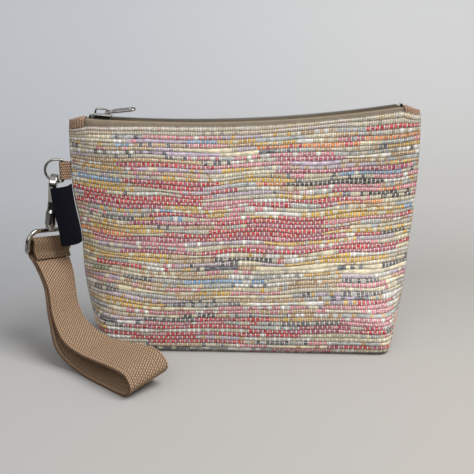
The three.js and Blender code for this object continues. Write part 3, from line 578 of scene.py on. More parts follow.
@dataclass(frozen=True)
class MouldedNylon(Finish):
    """Nylon monofilament: a painted highlight where each turn rounds its outer end, dark on top and between
    the turns.
    """

    # Painted highlight on the outer end of each turn.
    outer_end_highlight: str = "#94805f"

    def make(self) -> bpy.types.Material:
        """Colour from the piece's UV: U is the share of each turn, V is 1 on the filament's outer side.

        Returns:
            The material.
        """
        material, tree, shader = self.start()
        part = add_node(tree, "ShaderNodeSeparateXYZ", {"Vector": self.place(tree, "UV")})
        up = sums(tree, "SINE", sums(tree, "MULTIPLY", part.outputs[0], 2 * math.pi))
        # The pale tone is a painted highlight at mid height of each turn, on the filament's outer side.
        flank = sums(tree, "MULTIPLY", ramp(tree, up, -0.9, -0.3), ramp(tree, up, 0.3, 0.8, 1.0, 0.0))
        out = sums(tree, "MULTIPLY", ramp(tree, part.outputs[1], 0.2, 0.9), flank)
        tone = mixed(tree, out, linear(self.colour), linear(self.outer_end_highlight))
        tree.links.new(tone, shader.inputs["Base Color"])
        return material


@dataclass
class Finishes:
    """All the object's materials, made once."""

    woven: bpy.types.Material = field(init=False)
    lining: bpy.types.Material = field(init=False)
    tape: bpy.types.Material = field(init=False)
    coil: bpy.types.Material = field(init=False)
    strap: bpy.types.Material = field(init=False)
    tab: bpy.types.Material = field(init=False)
    label: bpy.types.Material = field(init=False)
    nickel: bpy.types.Material = field(init=False)
    dark_nickel: bpy.types.Material = field(init=False)
    steel: bpy.types.Material = field(init=False)

    def __post_init__(self) -> None:
        """Makes each finish from its own class."""
        self.woven = StripWeave("woven_plastic_strip", "#c6bba6", 0.38).make()
        self.lining = PlainCloth("plain_lining_cotton", "#cfc4b2", 0.9, specular=0.15).make()
        tape = PlainCloth("woven_zip_tape", "#998b77", 0.88, specular=0.15, thread_pitch=0.9, depth=0.12)
        self.tape = tape.make()
        self.coil = MouldedNylon("bronze_nylon_coil", "#1d1610", 0.34).make()
        # The strap's first 14 mm, its sewn flap, get painted shade.
        self.strap = CottonWebbing("tan_cotton_webbing", "#a1866d", 0.95, specular=0.15, flap_shade_reach=14).make()
        tab = CottonWebbing("russet_cotton_webbing", "#b39177", 0.95, specular=0.15, warm="#caa88e",
                            stitch=1.3)
        self.tab = tab.make()
        label = PlainCloth("woven_satin_label", "#0b0d1b", 0.85, specular=0.15, thread_pitch=0.5, dark=0.4)
        self.label = label.make()
        self.nickel = PlatedMetal("polished_nickel_plate", "#aeaba5", 0.15, 1.0).make()
        self.dark_nickel = PlatedMetal("slider_nickel_plate", "#a5a29c", 0.1, 1.0).make()
        self.steel = PlatedMetal("drawn_spring_steel", "#a4a5a8", 0.3, 1.0).make()


@dataclass(frozen=True)
class PouchShape:
    """The pouch's skin and the line of its zip: the part's sizes, and softness that only the cloth has."""

    half_width: float = 115.0
    base_depth: float = 57.0
    base_turn: float = 0.045
    base_turn_rise: float = 0.5
    mouth_depth: float = 13.6
    hem_radius: float = 4.0
    panel_thickness: float = 1.3
    lining_room: float = 1.5
    lining_thickness: float = 0.5
    gap: float = 0.3
    zip_low_height: float = 150.9
    zip_low_place: float = -33.0
    zip_sag_radius: float = 907.0
    edge_drop: float = 2.4
    dip_left: float = 2.4
    dip_run: tuple[float, float] = (55, 108)
    dip_rise: float = 0.75
    droop_left: float = 3.0
    droop_right: float = 5.0
    droop_length: float = 15.5
    droop_rise: float = 0.91
    levelled: float = 5.0
    levelled_from: float = 55.0
    levelled_rise: float = 0.88
    dent: float = 2.3
    dent_rise: float = 0.49
    dent_reach: float = 0.13
    dent_share: float = 0.45
    width_shares: Pairs = (
        (0, 0.872), (0.08, 0.908), (0.2, 0.937), (0.35, 0.957),
        (0.5, 0.975), (0.7, 0.995), (0.85, 1), (1, 1),
    )
    depth_shares: Pairs = (
        (0, 1), (0.12, 1.02), (0.25, 0.95), (0.44, 0.78), (0.63, 0.55), (0.77, 0.34), (0.9, 0.12), (1, 0),
    )
    squareness: Pairs = (
        (0, 46), (0.06, 26), (0.14, 12), (0.25, 5.8), (0.44, 3), (0.63, 2.4), (0.77, 3), (0.88, 7), (1, 24),
    )

    @property
    def zip_centre(self) -> float:
        """Height of the middle of the zip's arc."""
        return self.zip_low_height + self.zip_sag_radius

    def droop(self, x: Array) -> Array:
        """How far the zip line hangs below its arc: half a sine wave past the ends of the coils."""
        share = np.clip((np.abs(x) - self.half_width + self.droop_length) / self.droop_length, 0, 1)
        return np.where(x < 0, self.droop_left, self.droop_right) * np.sin(share * np.pi / 2) ** 2

    def edge_dip(self, x: Array) -> Array:
        """How much further the panel's edge lies below the zip towards the left end."""
        return self.dip_left * smooth(-x, *self.dip_run)

    def zip_height(self, x: Array) -> Array:
        """Height of the tape's face over the floor: the low side of a circle, less the droop."""
        reach = np.sqrt(self.zip_sag_radius ** 2 - (x - self.zip_low_place) ** 2)
        return self.zip_centre - reach - self.droop(x)

    def on_zip(self, s: Array, y: Array, height: Array) -> Array:
        """Points at s along the zip's arc, y across it and a height above the tape's face.

        Args:
            s: place along the arc, 0 in the middle of the pouch.
            y: place across the zip.
            height: distance from the tape's face, up.

        Returns:
            Points, in the shape that the arguments broadcast to.
        """
        turn = (s - self.zip_low_place) / self.zip_sag_radius
        radius = self.zip_sag_radius - height
        x = self.zip_low_place + radius * np.sin(turn)
        z = self.zip_centre - radius * np.cos(turn) - self.droop(x)
        return np.stack(np.broadcast_arrays(x, y, z), axis=-1)

    def section(self, rise: Array, inset: float) -> tuple[Array, Array, Array]:
        """Half width, half depth and squareness of the level section at a share of the height.

        Args:
            rise: share of the wall's height.
            inset: distance in from the outer face.

        Returns:
            The three, one of each per rise.
        """
        width = self.half_width * value_at(self.width_shares, rise)
        depth = self.mouth_depth + (self.base_depth - self.mouth_depth) * value_at(self.depth_shares, rise)
        power = value_at(self.squareness, rise)
        slope = depth / 2 * power / width
        return width - inset * np.hypot(1, slope) / slope, depth / 2 - inset, power

    def drawn_in(self, rise: Array) -> Array:
        """How far the label's weight draws the left seam in at a share of the height."""
        return self.dent * np.exp(-((rise - self.dent_rise) / self.dent_reach) ** 2)

    def skin(self, side: Side, share: Array, rise: Array, turn: Array, ahead: Array, inset: float) -> Array:
        """Points of the skin: a superellipse at each level, then round the hem and in over the base.

        Args:
            side: the front or the back half.
            share: place across, from -1 to 1.
            rise: share of the wall's height.
            turn: share of the turn round the hem.
            ahead: share of the base that lies ahead, 1 on the wall.
            inset: distance in from the outer face.

        Returns:
            Points, in the shape that the arguments broadcast to.
        """
        width, depth, power = self.section(rise, inset)
        hem = self.hem_radius - inset
        drawn = hem * (1 - np.cos(turn * np.pi / 2))
        x = share * (width - drawn)
        bow = 1 - np.abs(share) ** power
        turned = self.base_turn * x * (1 - smooth(rise, 0, self.base_turn_rise))
        y = side.value * (self.gap / 2 + ahead * (depth - drawn) * bow) - turned
        droop = self.droop(x)
        top = self.zip_height(x) + droop - self.edge_drop
        z = self.hem_radius + (top - self.hem_radius) * rise - hem * np.sin(turn * np.pi / 2)
        z = z - droop * smooth(rise, self.droop_rise, 1) - self.edge_dip(x) * smooth(rise, self.dip_rise, 1)
        levelled = self.levelled * smooth(x, self.levelled_from, self.half_width)
        z = z - levelled * rise * (1 - smooth(rise, self.levelled_rise, 1))
        x = x + self.drawn_in(rise) * smooth(-share, self.dent_share, 1)
        return np.stack(np.broadcast_arrays(x, y, z), axis=-1)

    def half_depth_at(self, x: Array, rise: Array, inset: float) -> Array:
        """Half the depth over the skin at a place across and a share of the height."""
        width, depth, power = self.section(rise, inset)
        return depth * (1 - np.minimum(np.abs(x / width), 1) ** power)


# A run counted in columns: its first, the one past its last, its colour, and if the warp shows over it.
Stretch = tuple[int, int, Tint, bool]


@dataclass(frozen=True)
class Run:
    """A stretch of strip of one colour: its row from the top, its ends from the middle, in mm."""

    row: int
    start: float
    end: float
    tint: Tint


@dataclass
class WovenPanel:
    """One half of the pouch in strip cloth: rows of strip crossed by every second warp thread."""

    shape: PouchShape
    side: Side
    seed: int
    rows_on_wall: int = 55
    rows_on_base: int = 12
    samples: int = 4
    base_samples: int = 2
    periods: int = 78
    crest: float = 0.62
    pinch: float = 0.2
    slack: float = 0.7
    roundness: float = 0.7
    swell: float = 0.25
    row_wander: float = 0.33
    row_waves: tuple[float, ...] = (38, 61, 97)
    shared_wander: float = 0.8
    shared_waves: tuple[float, ...] = (70, 130, 190)
    shared_rows: int = 8
    edge_fade: float = 0.02
    floor_room: float = 0.02
    rim_rise: float = 0.45
    inner_step: int = 10
    run_lengths: tuple[float, float] = (9, 56)
    buried_share: float = 0.3
    strip_tones: tuple[float, float] = (0.72, 1.12)
    rubbed: tuple[float, ...] = (0.72, 0.55)
    accents: tuple[Run, ...] = (
        Run(2, 78, 114, Tint.RED), Run(4, 76, 115, Tint.ORANGE), Run(4, 8, 34, Tint.MUSTARD),
        Run(5, 8, 74, Tint.ORANGE), Run(6, 92, 115, Tint.MUSTARD), Run(7, -6, 58, Tint.ROSE),
        Run(8, 20, 66, Tint.MAGENTA), Run(9, -82, -18, Tint.RED), Run(10, -110, -78, Tint.MUSTARD),
        Run(10, 30, 90, Tint.LILAC), Run(11, 20, 112, Tint.MAGENTA), Run(12, -110, -60, Tint.LILAC),
        Run(13, -79, -24, Tint.RED), Run(14, -108, -77, Tint.MUSTARD), Run(14, -70, -26, Tint.RED),
        Run(14, 26, 92, Tint.BLACK), Run(15, -108, -82, Tint.MUSTARD), Run(16, -40, -26, Tint.RED),
        Run(16, -20, 28, Tint.LILAC), Run(17, -107, -30, Tint.RED), Run(17, 76, 112, Tint.BLACK),
        Run(18, -107, -28, Tint.RED), Run(18, 90, 112, Tint.BLACK), Run(19, 3, 30, Tint.RED),
        Run(19, 60, 92, Tint.ORANGE), Run(19, -106, -52, Tint.MAGENTA), Run(20, -104, -60, Tint.GREY),
        Run(21, -64, -24, Tint.RED), Run(21, -24, -14, Tint.MUSTARD), Run(21, 36, 108, Tint.MUSTARD),
        Run(22, 22, 52, Tint.RED), Run(22, 54, 104, Tint.MUSTARD), Run(22, -48, -40, Tint.SKY),
        Run(23, 22, 54, Tint.RED), Run(23, -20, 22, Tint.RED), Run(23, 56, 106, Tint.ROSE),
        Run(24, 52, 100, Tint.BEIGE), Run(24, -106, -82, Tint.BEIGE), Run(24, 0, 50, Tint.MAGENTA),
        Run(25, -106, -54, Tint.MUSTARD), Run(25, -24, 70, Tint.RED), Run(26, -54, -20, Tint.RED),
        Run(26, -20, 36, Tint.RED), Run(27, -20, 60, Tint.MAGENTA), Run(27, -106, -36, Tint.MAGENTA),
        Run(27, 92, 110, Tint.BLACK), Run(28, -104, -40, Tint.ROSE), Run(28, 20, 74, Tint.MUSTARD),
        Run(29, 0, 90, Tint.ROSE), Run(29, -104, -70, Tint.LILAC), Run(30, -30, 60, Tint.RED),
        Run(30, 60, 108, Tint.RED), Run(31, 60, 104, Tint.MAGENTA), Run(31, -102, -52, Tint.MUSTARD),
        Run(32, -100, -48, Tint.MUSTARD), Run(32, -20, 20, Tint.BLACK), Run(33, -68, -54, Tint.WHITE),
        Run(33, 26, 98, Tint.MUSTARD), Run(34, -68, -53, Tint.WHITE), Run(34, -4, 8, Tint.WHITE),
        Run(35, -96, -30, Tint.CREAM), Run(37, 86, 100, Tint.WHITE), Run(39, 60, 96, Tint.ROSE),
        Run(41, 62, 98, Tint.SLATE), Run(42, -100, -36, Tint.LILAC), Run(43, 72, 102, Tint.RED),
        Run(44, 50, 102, Tint.ROSE), Run(44, -16, 40, Tint.ROSE), Run(45, 74, 102, Tint.ROSE),
        Run(46, -38, -18, Tint.BLACK), Run(47, 60, 98, Tint.ROSE), Run(48, 10, 60, Tint.SLATE),
        Run(49, -74, 4, Tint.RED), Run(49, 74, 88, Tint.RED), Run(50, 88, 98, Tint.BLACK),
        Run(51, -98, -62, Tint.RED), Run(51, -48, 10, Tint.RED), Run(51, 14, 34, Tint.RED),
        Run(52, 38, 96, Tint.CREAM), Run(53, -60, 0, Tint.RED), Run(53, 6, 40, Tint.SLATE),
        Run(54, 52, 94, Tint.RED),
    )

    @property
    def stations(self) -> tuple[Array, Array, Array]:
        """Rise, turn and ahead of each row of points, from the mouth down the wall and over the base.

        Returns:
            Three arrays, one value of each per row of points.
        """
        wall = self.rows_on_wall * self.samples
        base = self.rows_on_base * self.base_samples
        hem = 4
        rise = np.concatenate([1 - np.arange(wall + 1) / wall, np.zeros(base)])
        turn = np.concatenate([np.zeros(wall + 1), np.arange(1, hem + 1) / hem, np.ones(base - hem)])
        ahead = np.concatenate([np.ones(wall + 1 + hem), 1 - np.arange(1, base - hem + 1) / (base - hem)])
        return rise, turn, ahead

    @property
    def row_place(self) -> Array:
        """The strip row that each row of points lies in, counted from the mouth, with its fraction.

        Returns:
            One value per row of points.
        """
        wall = np.arange(self.rows_on_wall * self.samples + 1) / self.samples
        base = np.arange(1, self.rows_on_base * self.base_samples + 1) / self.base_samples
        return np.concatenate([wall, self.rows_on_wall + base])

    def shares(self, rise: Array, turn: Array, ahead: Array) -> Array:
        """Places across that are evenly spaced along the cloth at each row, so the warp runs straight.

        Args:
            rise: share of the wall's height at each row of points.
            turn: share of the turn round the hem there.
            ahead: share of the base that lies ahead there.

        Returns:
            One row of shares from -1 to 1 per row of points.
        """
        tries = np.sin(np.linspace(-1, 1, 241) * np.pi / 2)[None, :]
        points = self.shape.skin(self.side, tries, rise[:, None], turn[:, None], ahead[:, None], 0)
        run = np.cumsum(np.linalg.norm(np.diff(points, axis=1), axis=2), axis=1)
        run = np.concatenate([np.zeros((len(run), 1)), run], axis=1)
        want = np.linspace(0, 1, self.periods * self.samples + 1)
        return np.stack([np.interp(want, one / one[-1], tries[0]) for one in run])

    def wandered(self, rise: Array, count: int, rng: np.random.Generator) -> Array:
        """The rise of each point once the rows wander and swell along their length.

        Args:
            rise: share of the wall's height of each row of points, from the mouth.
            count: points in a row.
            rng: where the drawn numbers come from.

        Returns:
            One rise per point. The mouth and the hem stay where they are.
        """
        place = np.linspace(0, self.shape.half_width * 2, count)
        edges = np.stack([ripple(rng, place, self.row_waves) for _ in range(self.rows_on_wall + 1)])
        shared = np.stack([ripple(rng, place, self.shared_waves) for _ in range(self.shared_rows)])
        row = np.linspace(0, len(shared) - 1, self.rows_on_wall + 1)
        low = np.minimum(row.astype(int), len(shared) - 2)
        part = (row - low)[:, None]
        shared = shared[low] * (1 - part) + shared[low + 1] * part
        edges = self.row_wander * edges + self.shared_wander * shared
        ends = np.sin(np.linspace(0, 1, self.rows_on_wall + 1) * np.pi)[:, None] ** 0.4
        edges *= ends / self.rows_on_wall
        step = np.arange(self.rows_on_wall * self.samples + 1) / self.samples
        low = np.minimum(step.astype(int), self.rows_on_wall - 1)
        part = (step - low)[:, None]
        wall = edges[low] * (1 - part) + edges[low + 1] * part
        moved = np.repeat(rise[:, None], count, axis=1)
        moved[:len(wall)] += wall
        return np.clip(moved, 0, 1)

    def relief(self, row: Array, rng: np.random.Generator) -> Array:
        """Height of the cloth over its skin: each strip is round, and pinched where a thread crosses.

        Args:
            row: the strip row of each row of points, with its fraction.
            rng: where the drawn numbers come from.

        Returns:
            One height per point, with the broad slack of the wall in it.
        """
        count = self.periods * self.samples + 1
        across = np.arange(count)[None, :] / self.samples
        number = np.floor(np.minimum(row, self.rows_on_wall + self.rows_on_base - 0.001))[:, None]
        dome = np.sin(np.pi * (row[:, None] - number).clip(0, 1)) ** self.roundness
        cross = np.cos(np.pi * (across + 0.5 * (number % 2))) ** 2
        swell = 1 + self.swell * np.sin(across / 9 + number * 2.4)
        height = self.crest * (dome * swell - 1) - self.pinch * cross * dome
        down = np.sin(np.linspace(0, np.pi, len(row)))[:, None]
        broad = np.sin(np.linspace(0, np.pi, count))[None, :] * down
        waves = ripple(rng, across * 3, (46, 83))[0] * np.cos(row / 9)[:, None]
        return height + self.slack * broad * (waves - 1) * 0.5

    def zone(self, row: int) -> dict[Tint, float]:
        """How likely each colour is in a row, by its share of the wall.

        Args:
            row: the row of strip, from the mouth.

        Returns:
            Each colour's weight.
        """
        place = row / self.rows_on_wall
        pale = {Tint.NATURAL: 4, Tint.GREY: 3, Tint.CREAM: 5, Tint.BEIGE: 3, Tint.LILAC: 2, Tint.WHITE: 2.2}
        warm = {Tint.ROSE: 2, Tint.MUSTARD: 1.2, Tint.SLATE: 0.6, Tint.GREEN: 0.2, Tint.SKY: 0.3}
        lively = {Tint.ROSE: 2.5, Tint.RED: 3, Tint.MAGENTA: 2.2, Tint.MUSTARD: 3, Tint.ORANGE: 1}
        bright = 0.2 < place < 0.62 or place > 0.85
        return {**pale, **warm, **lively} if bright else {**pale, **warm}

    def printed(self, tint: Tint, rng: np.random.Generator) -> tuple[Tint, float]:
        """The second colour that shows on a strip, and how often: a carrier bag's worn, broken colour.

        Args:
            tint: the strip's colour.
            rng: where the drawn numbers come from.

        Returns:
            The second colour, and the share of the teeth that show it.
        """
        kin = {
            Tint.RED: Tint.MAGENTA, Tint.MAGENTA: Tint.ROSE, Tint.MUSTARD: Tint.CREAM, Tint.SKY: Tint.WHITE,
            Tint.ORANGE: Tint.RED, Tint.BLACK: Tint.NATURAL, Tint.SLATE: Tint.GREY, Tint.ROSE: Tint.WHITE,
        }
        if tint in kin:
            return kin[tint], rng.uniform(0.05, 0.3)
        pale = (Tint.CREAM, Tint.WHITE, Tint.GREY, Tint.NATURAL, Tint.BEIGE, Tint.ROSE, Tint.MUSTARD)
        if rng.random() < 0.14:
            return Tint.SLATE, rng.uniform(0.1, 0.5)
        return pale[rng.integers(len(pale))], rng.uniform(0.1, 0.5)

    def drawn_runs(self, row: int, columns: int, rng: np.random.Generator) -> list[Stretch]:
        """Runs drawn for a row: first column, end, colour, and whether the warp shows over the strip.

        Args:
            row: the row of strip, from the mouth.
            columns: columns of faces in a row.
            rng: where the drawn numbers come from.

        Returns:
            One tuple per run, from left to right.
        """
        chances = self.zone(row)
        weights = np.array(list(chances.values()))
        tints = list(chances)
        often_buried = (Tint.WHITE, Tint.GREY, Tint.CREAM, Tint.LILAC)
        step = self.shape.half_width * 2 / columns
        runs = []
        at = -int(rng.integers(0, 20))
        while at < columns:
            end = at + int(rng.uniform(*self.run_lengths) / step)
            tint = tints[rng.choice(len(tints), p=weights / weights.sum())]
            buried = tint in often_buried and rng.random() < self.buried_share
            runs.append((max(at, 0), max(end, 0), tint, not buried))
            at = end
        return runs

    def accent_runs(self, row: int, columns: int) -> list[Stretch]:
        """The accents of a row of the front, in the same form.

        Args:
            row: the row of strip, from the mouth.
            columns: columns of faces in a row.

        Returns:
            One tuple per accent. Later ones cover earlier ones.
        """
        step = self.shape.half_width * 2 / columns
        runs = []
        for run in self.accents if self.side is Side.FRONT else ():
            if run.row == row:
                first, last = (int((x + self.shape.half_width) / step) for x in (run.start, run.end))
                runs.append((max(first, 0), last, run.tint, True))
        return runs

    def strips(self, rng: np.random.Generator) -> Array:
        """Colour of each row of strip at each column: drawn runs and prints, then the accents.

        Alpha says whether the warp thread shows over the strip or lies buried under it.

        Args:
            rng: where the drawn numbers come from.

        Returns:
            Linear red, green, blue and alpha, for each row of strip and each column of faces.
        """
        columns = self.periods * self.samples
        total = self.rows_on_wall + self.rows_on_base
        colours = np.ones((total, columns, 4))
        across = (np.arange(columns) + 0.5) / self.samples
        for row in range(total):
            tooth = np.floor(across + 0.5 * (row % 2)).astype(int)
            teeth = int(tooth[-1]) + 1
            runs = self.drawn_runs(row, columns, rng) + self.accent_runs(row, columns)
            for first, last, tint, shown in runs:
                second, share = self.printed(tint, rng)
                chosen = (rng.random(teeth) < share)[tooth[first:last], None]
                colours[row, first:last] = np.where(chosen, linear(second.value), linear(tint.value))
                colours[row, first:last, 3] = float(shown)
            tone = rng.uniform(*self.strip_tones, (teeth, 1))
            colours[row, :, :3] *= tone[tooth] * (1 + 0.1 * ripple(rng, across, (9, 17))[:, None])
        bare = np.array(linear(Tint.NATURAL.value))
        for row, share in enumerate(self.rubbed):
            colours[row, :, :3] += share * (bare[:3] - colours[row, :, :3])
        colours[:len(self.rubbed), :, 3] = 1.0
        return colours.clip(0, 1)

    @staticmethod
    def side_edges(kept: list[int], rims: int, count: int) -> list[list[int]]:
        """Faces that close both side edges of the panel.

        Args:
            kept: the outer rows, counted from the mouth, that have an inner row behind them.
            rims: how many rows round the top edge lie between the outer and the inner rows.
            count: points in a row.

        Returns:
            The faces, as lists of point numbers.
        """
        last = kept[-1]
        behind = last + 1 + rims
        loops = [[last - j for j in range(a, b + 1)] + [behind + n + 1, behind + n]
                 for n, (a, b) in enumerate(zip(kept[:-1], kept[1:]))]
        loops.append(list(range(last, behind + 1)))
        return [[r * count + column for r in loop] for column in (0, count - 1) for loop in loops]

    def build(self, finish: bpy.types.Material) -> bpy.types.Object:
        """Makes the panel: outer rows, a rounded top edge, coarse inner rows and closed sides.

        Args:
            finish: its material.

        Returns:
            The new piece.
        """
        rng = np.random.default_rng(self.seed)
        rise, turn, ahead = self.stations
        row = self.row_place
        share = self.shares(rise, turn, ahead)
        count = share.shape[1]
        moved = self.wandered(rise, count, rng)
        place = (share, moved, turn[:, None], ahead[:, None])
        outer = self.shape.skin(self.side, *place, 0)
        normal = np.cross(np.gradient(outer, axis=1), np.gradient(outer, axis=0))
        normal /= np.maximum(np.linalg.norm(normal, axis=2, keepdims=True), 1e-9)
        normal *= np.sign(np.median(normal[..., 1])) * self.side.value
        fade = smooth(1 - np.abs(share), 0, self.edge_fade)[..., None]
        outer += normal * (self.relief(row, rng)[..., None] * fade)
        outer[..., 2] = np.maximum(outer[..., 2], self.floor_room)
        thick = self.shape.panel_thickness
        rims = []
        for part in (0.3, 0.7):
            mouth = (share[:1], moved[:1], turn[:1, None], ahead[:1, None])
            rim = self.shape.skin(self.side, *mouth, thick * part)
            rim[..., 2] += self.rim_rise
            rims.append(rim)
        kept = np.unique(np.append(np.arange(0, len(rise), self.inner_step), len(rise) - 1))
        few = (share[kept], rise[kept, None], turn[kept, None], ahead[kept, None])
        inner = self.shape.skin(self.side, *few, thick)
        points = np.concatenate([outer[::-1], *rims, inner])
        faces = grid_faces(len(points), count, wrap_rows=True).tolist()
        sides = self.side_edges(kept.tolist(), len(rims), count)
        last = len(rise) - 1
        strips = self.strips(rng)
        number = np.minimum(row[:-1].astype(int), len(strips) - 1)[::-1]
        plain = np.array(linear(Tint.NATURAL.value))
        tints = np.broadcast_to(plain, (len(points), count - 1, 4)).copy()
        tints[:last] = strips[number]
        tints[last] = strips[0]
        tints = np.concatenate([tints.reshape(-1, 4), np.broadcast_to(plain, (len(sides), 4))])
        across = np.arange(count) / self.samples
        along = np.concatenate([row[::-1], [0, 0], row[kept]])
        uv = np.stack(np.broadcast_arrays(across[None, :], along[:, None]), axis=-1)
        name = f"{self.side.name.lower()}_woven_panel"
        piece = make_piece(name, points, faces + sides, finish, "pouch", uv, tints)
        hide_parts(f"{self.side.name.lower()}_panel")
        return piece


@dataclass
class Lining:
    """One half of the cotton lining, a bag inside the bag."""

    shape: PouchShape
    side: Side
    columns: int = 96
    walls: int = 60

    def build(self, finish: bpy.types.Material) -> bpy.types.Object:
        """Makes the half as two skins joined round all four edges.

        Args:
            finish: its material.

        Returns:
            The new piece.
        """
        hem, base = 4, 8
        rise = np.concatenate([1 - np.arange(self.walls + 1) / self.walls, np.zeros(hem + base)])
        turn = np.concatenate([np.zeros(self.walls + 1), np.arange(1, hem + 1) / hem, np.ones(base)])
        ahead = np.concatenate([np.ones(self.walls + 1 + hem), 1 - np.arange(1, base + 1) / base])
        share = np.sin(np.linspace(-1, 1, self.columns + 1) * np.pi / 2)[None, :]
        inset = self.shape.panel_thickness + self.shape.lining_room
        place = (share, rise[:, None], turn[:, None], ahead[:, None])
        outer = self.shape.skin(self.side, *place, inset)
        inner = self.shape.skin(self.side, *place, inset + self.shape.lining_thickness)
        points = np.concatenate([outer, inner[::-1]])
        name = f"{self.side.name.lower()}_lining"
        piece = make_piece(name, points, closed_bag(points), finish, "pouch")
        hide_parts(f"lining_{self.side.name.lower()}")
        return piece


@dataclass
class ZipFastener:
    """The closed zip: two tapes with their skirts sewn down behind the panels, and two coils."""

    shape: PouchShape
    tape_thickness: float = 0.6
    tape_flat: float = 4.3
    tape_end: float = 106.0
    tape_skirt: float = 12.0
    slot: float = 1.1
    coil_width: float = 2.5
    coil_height: float = 1.5
    coil_start: float = -99.3
    coil_end: float = 101.0
    coil_pitch: float = 1.5
    filament: float = 0.34
    coil_rise: float = 0.15
    turn_sides: int = 10
    filament_sides: int = 6
    tab_length: float = 10.8
    tab_thickness: float = 1.0
    tab_worn: float = 0.75
    tab_sunk: float = 0.5
    tab_column: float = 1.7
    tab_course: Pairs = (
        (-1, 1), (-0.99, 0.45), (-0.95, 0.14), (-0.84, 0), (-0.4, -0.04), (0, -0.05),
        (0.4, -0.04), (0.84, 0), (0.95, 0.14), (0.99, 0.45), (1, 1),
    )

    @property
    def skirt_inset(self) -> float:
        """How deep behind the panel's face the tape's outer face hangs."""
        return self.shape.panel_thickness + (self.shape.lining_room - self.tape_thickness) / 2

    def tape_face(self, side: Side, inset: float) -> Array:
        """One face of a tape: flat by the coil, bent down at the panel's edge and hung behind it.

        Args:
            side: the front or the back tape.
            inset: how deep behind the panel's face the skirt of this face hangs.

        Returns:
            Rows of five points along the zip, from the coil to the skirt's hem.
        """
        s = np.sin(np.linspace(-1, 1, 181) * np.pi / 2)[:, None] * self.tape_end
        deep = inset - self.skirt_inset
        drop = self.shape.edge_drop
        gap = self.shape.gap
        drops = np.array([deep, deep, deep + (drop - deep) / 4, drop - gap, drop + self.tape_skirt])[None, :]
        place = self.shape.on_zip(s, 0.0, -drops)
        x, z = place[..., 0], place[..., 2]
        top = self.shape.zip_height(x) - drop
        rise = np.minimum((z - self.shape.hem_radius) / (top - self.shape.hem_radius), 1)
        outer = self.shape.half_depth_at(x, rise, inset)
        flat = np.minimum(self.tape_flat, outer - gap) - deep / 2
        kind = np.arange(5)[None, :]
        across = np.where(kind == 0, self.slot / 2, outer)
        across = np.where(kind == 1, flat, across)
        place[..., 1] = side.value * np.where(kind == 2, (flat + outer) / 2, across)
        return place

    def tape(self, side: Side, finish: bpy.types.Material) -> bpy.types.Object:
        """Makes one tape as a closed strip of both faces.

        Args:
            side: the front or the back tape.
            finish: its material.

        Returns:
            The new piece.
        """
        outer = self.tape_face(side, self.skirt_inset)
        inner = self.tape_face(side, self.skirt_inset + self.tape_thickness)
        points = np.concatenate([outer, inner[:, ::-1]], axis=1)
        name = f"{side.name.lower()}_zip_tape"
        piece = make_piece(name, points, closed_tube(points), finish, "pouch")
        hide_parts(f"zip_tape_{side.name.lower()}")
        return piece

    def coil(self, side: Side, finish: bpy.types.Material) -> bpy.types.Object:
        """Makes one coil: a filament wound in a flat helix, a torus section carried along the arc.

        Args:
            side: the front or the back coil.
            finish: its material.

        Returns:
            The new piece.
        """
        first = self.coil_start + (self.coil_pitch / 2 if side is Side.BACK else 0) + self.filament
        turns = int((self.coil_end - self.filament - first) / self.coil_pitch)
        steps = turns * self.turn_sides
        phi = (np.arange(steps + 1) / self.turn_sides * 2 * np.pi)[:, None]
        psi = (np.arange(self.filament_sides) / self.filament_sides * 2 * np.pi)[None, :]
        s = first + phi / (2 * np.pi) * self.coil_pitch + self.filament * np.sin(psi)
        wide = self.coil_width / 2 - self.filament + self.filament * np.cos(psi)
        high = self.coil_height / 2 - self.filament + self.filament * np.cos(psi)
        y = side.value * (self.slot / 2 + self.coil_width / 2 + wide * np.cos(phi))
        middle = self.shape.gap + self.coil_height / 2
        height = middle + high * np.sin(phi) + self.coil_rise * np.maximum(np.sin(phi), 0)
        points = self.shape.on_zip(s, y, height)
        faces = grid_faces(steps + 1, self.filament_sides, wrap_columns=True).tolist()
        last = steps * self.filament_sides
        faces += [list(range(self.filament_sides)), [last + n for n in range(self.filament_sides)]]
        uv = np.stack(np.broadcast_arrays(phi / (2 * np.pi), np.cos(psi)), axis=-1)
        name = f"{side.name.lower()}_zip_coil"
        piece = make_piece(name, points, faces, finish, "pouch", uv)
        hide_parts(f"zip_coil_{side.name.lower()}")
        return piece

    def end_tab(self, end: int, finish: bpy.types.Material) -> bpy.types.Object:
        """Makes the webbing folded over one end of the zip, a rounded bridge from front to back.

        It thins and sinks towards its worn inner end, where the slider passes.

        Args:
            end: -1 at the left and 1 at the right.
            finish: its material.

        Returns:
            The new piece.
        """
        length, thickness, gap = self.tab_length, self.tab_thickness, self.shape.gap
        course = even(spline(self.tab_course, 90), 49)
        part = np.linspace(0, 1, 25)[:, None]
        s = self.shape.half_width - gap * 2 - length * (1 - np.sin(part * np.pi / 2))
        inner_end = (self.shape.half_width - gap * 2 - s) / length
        worn = self.tab_worn * thickness * smooth(inner_end, 0.75, 1)
        sunk = self.tab_sunk * smooth(1 - inner_end, 0.5, 1)
        faces_of = []
        for inset in (0.0, thickness):
            outer = self.shape.half_depth_at(s, 1.0, 0.0)
            half = np.maximum(outer - gap - inset, gap * (1.6 - inset))
            top = gap + thickness - inset - worn * (1 - inset / thickness) - sunk
            drop = top + self.shape.edge_drop + self.shape.edge_dip(end * s) - gap
            faces_of.append(self.shape.on_zip(end * s, course[:, 0] * half, top - course[:, 1] * drop))
        points = np.concatenate([faces_of[0], faces_of[1][:, ::-1]], axis=1)
        faces = closed_tube(points)
        run = lengths(faces_of[0][0])
        along = np.concatenate([run, run[::-1]])
        uv = np.stack(np.broadcast_arrays(s / self.tab_column, along[None, :]), axis=-1)
        word = "left" if end < 0 else "right"
        piece = make_piece(f"{word}_zip_end_tab", points, faces, finish, "pouch", uv)
        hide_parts(f"zip_end_tab_{word}")
        return piece

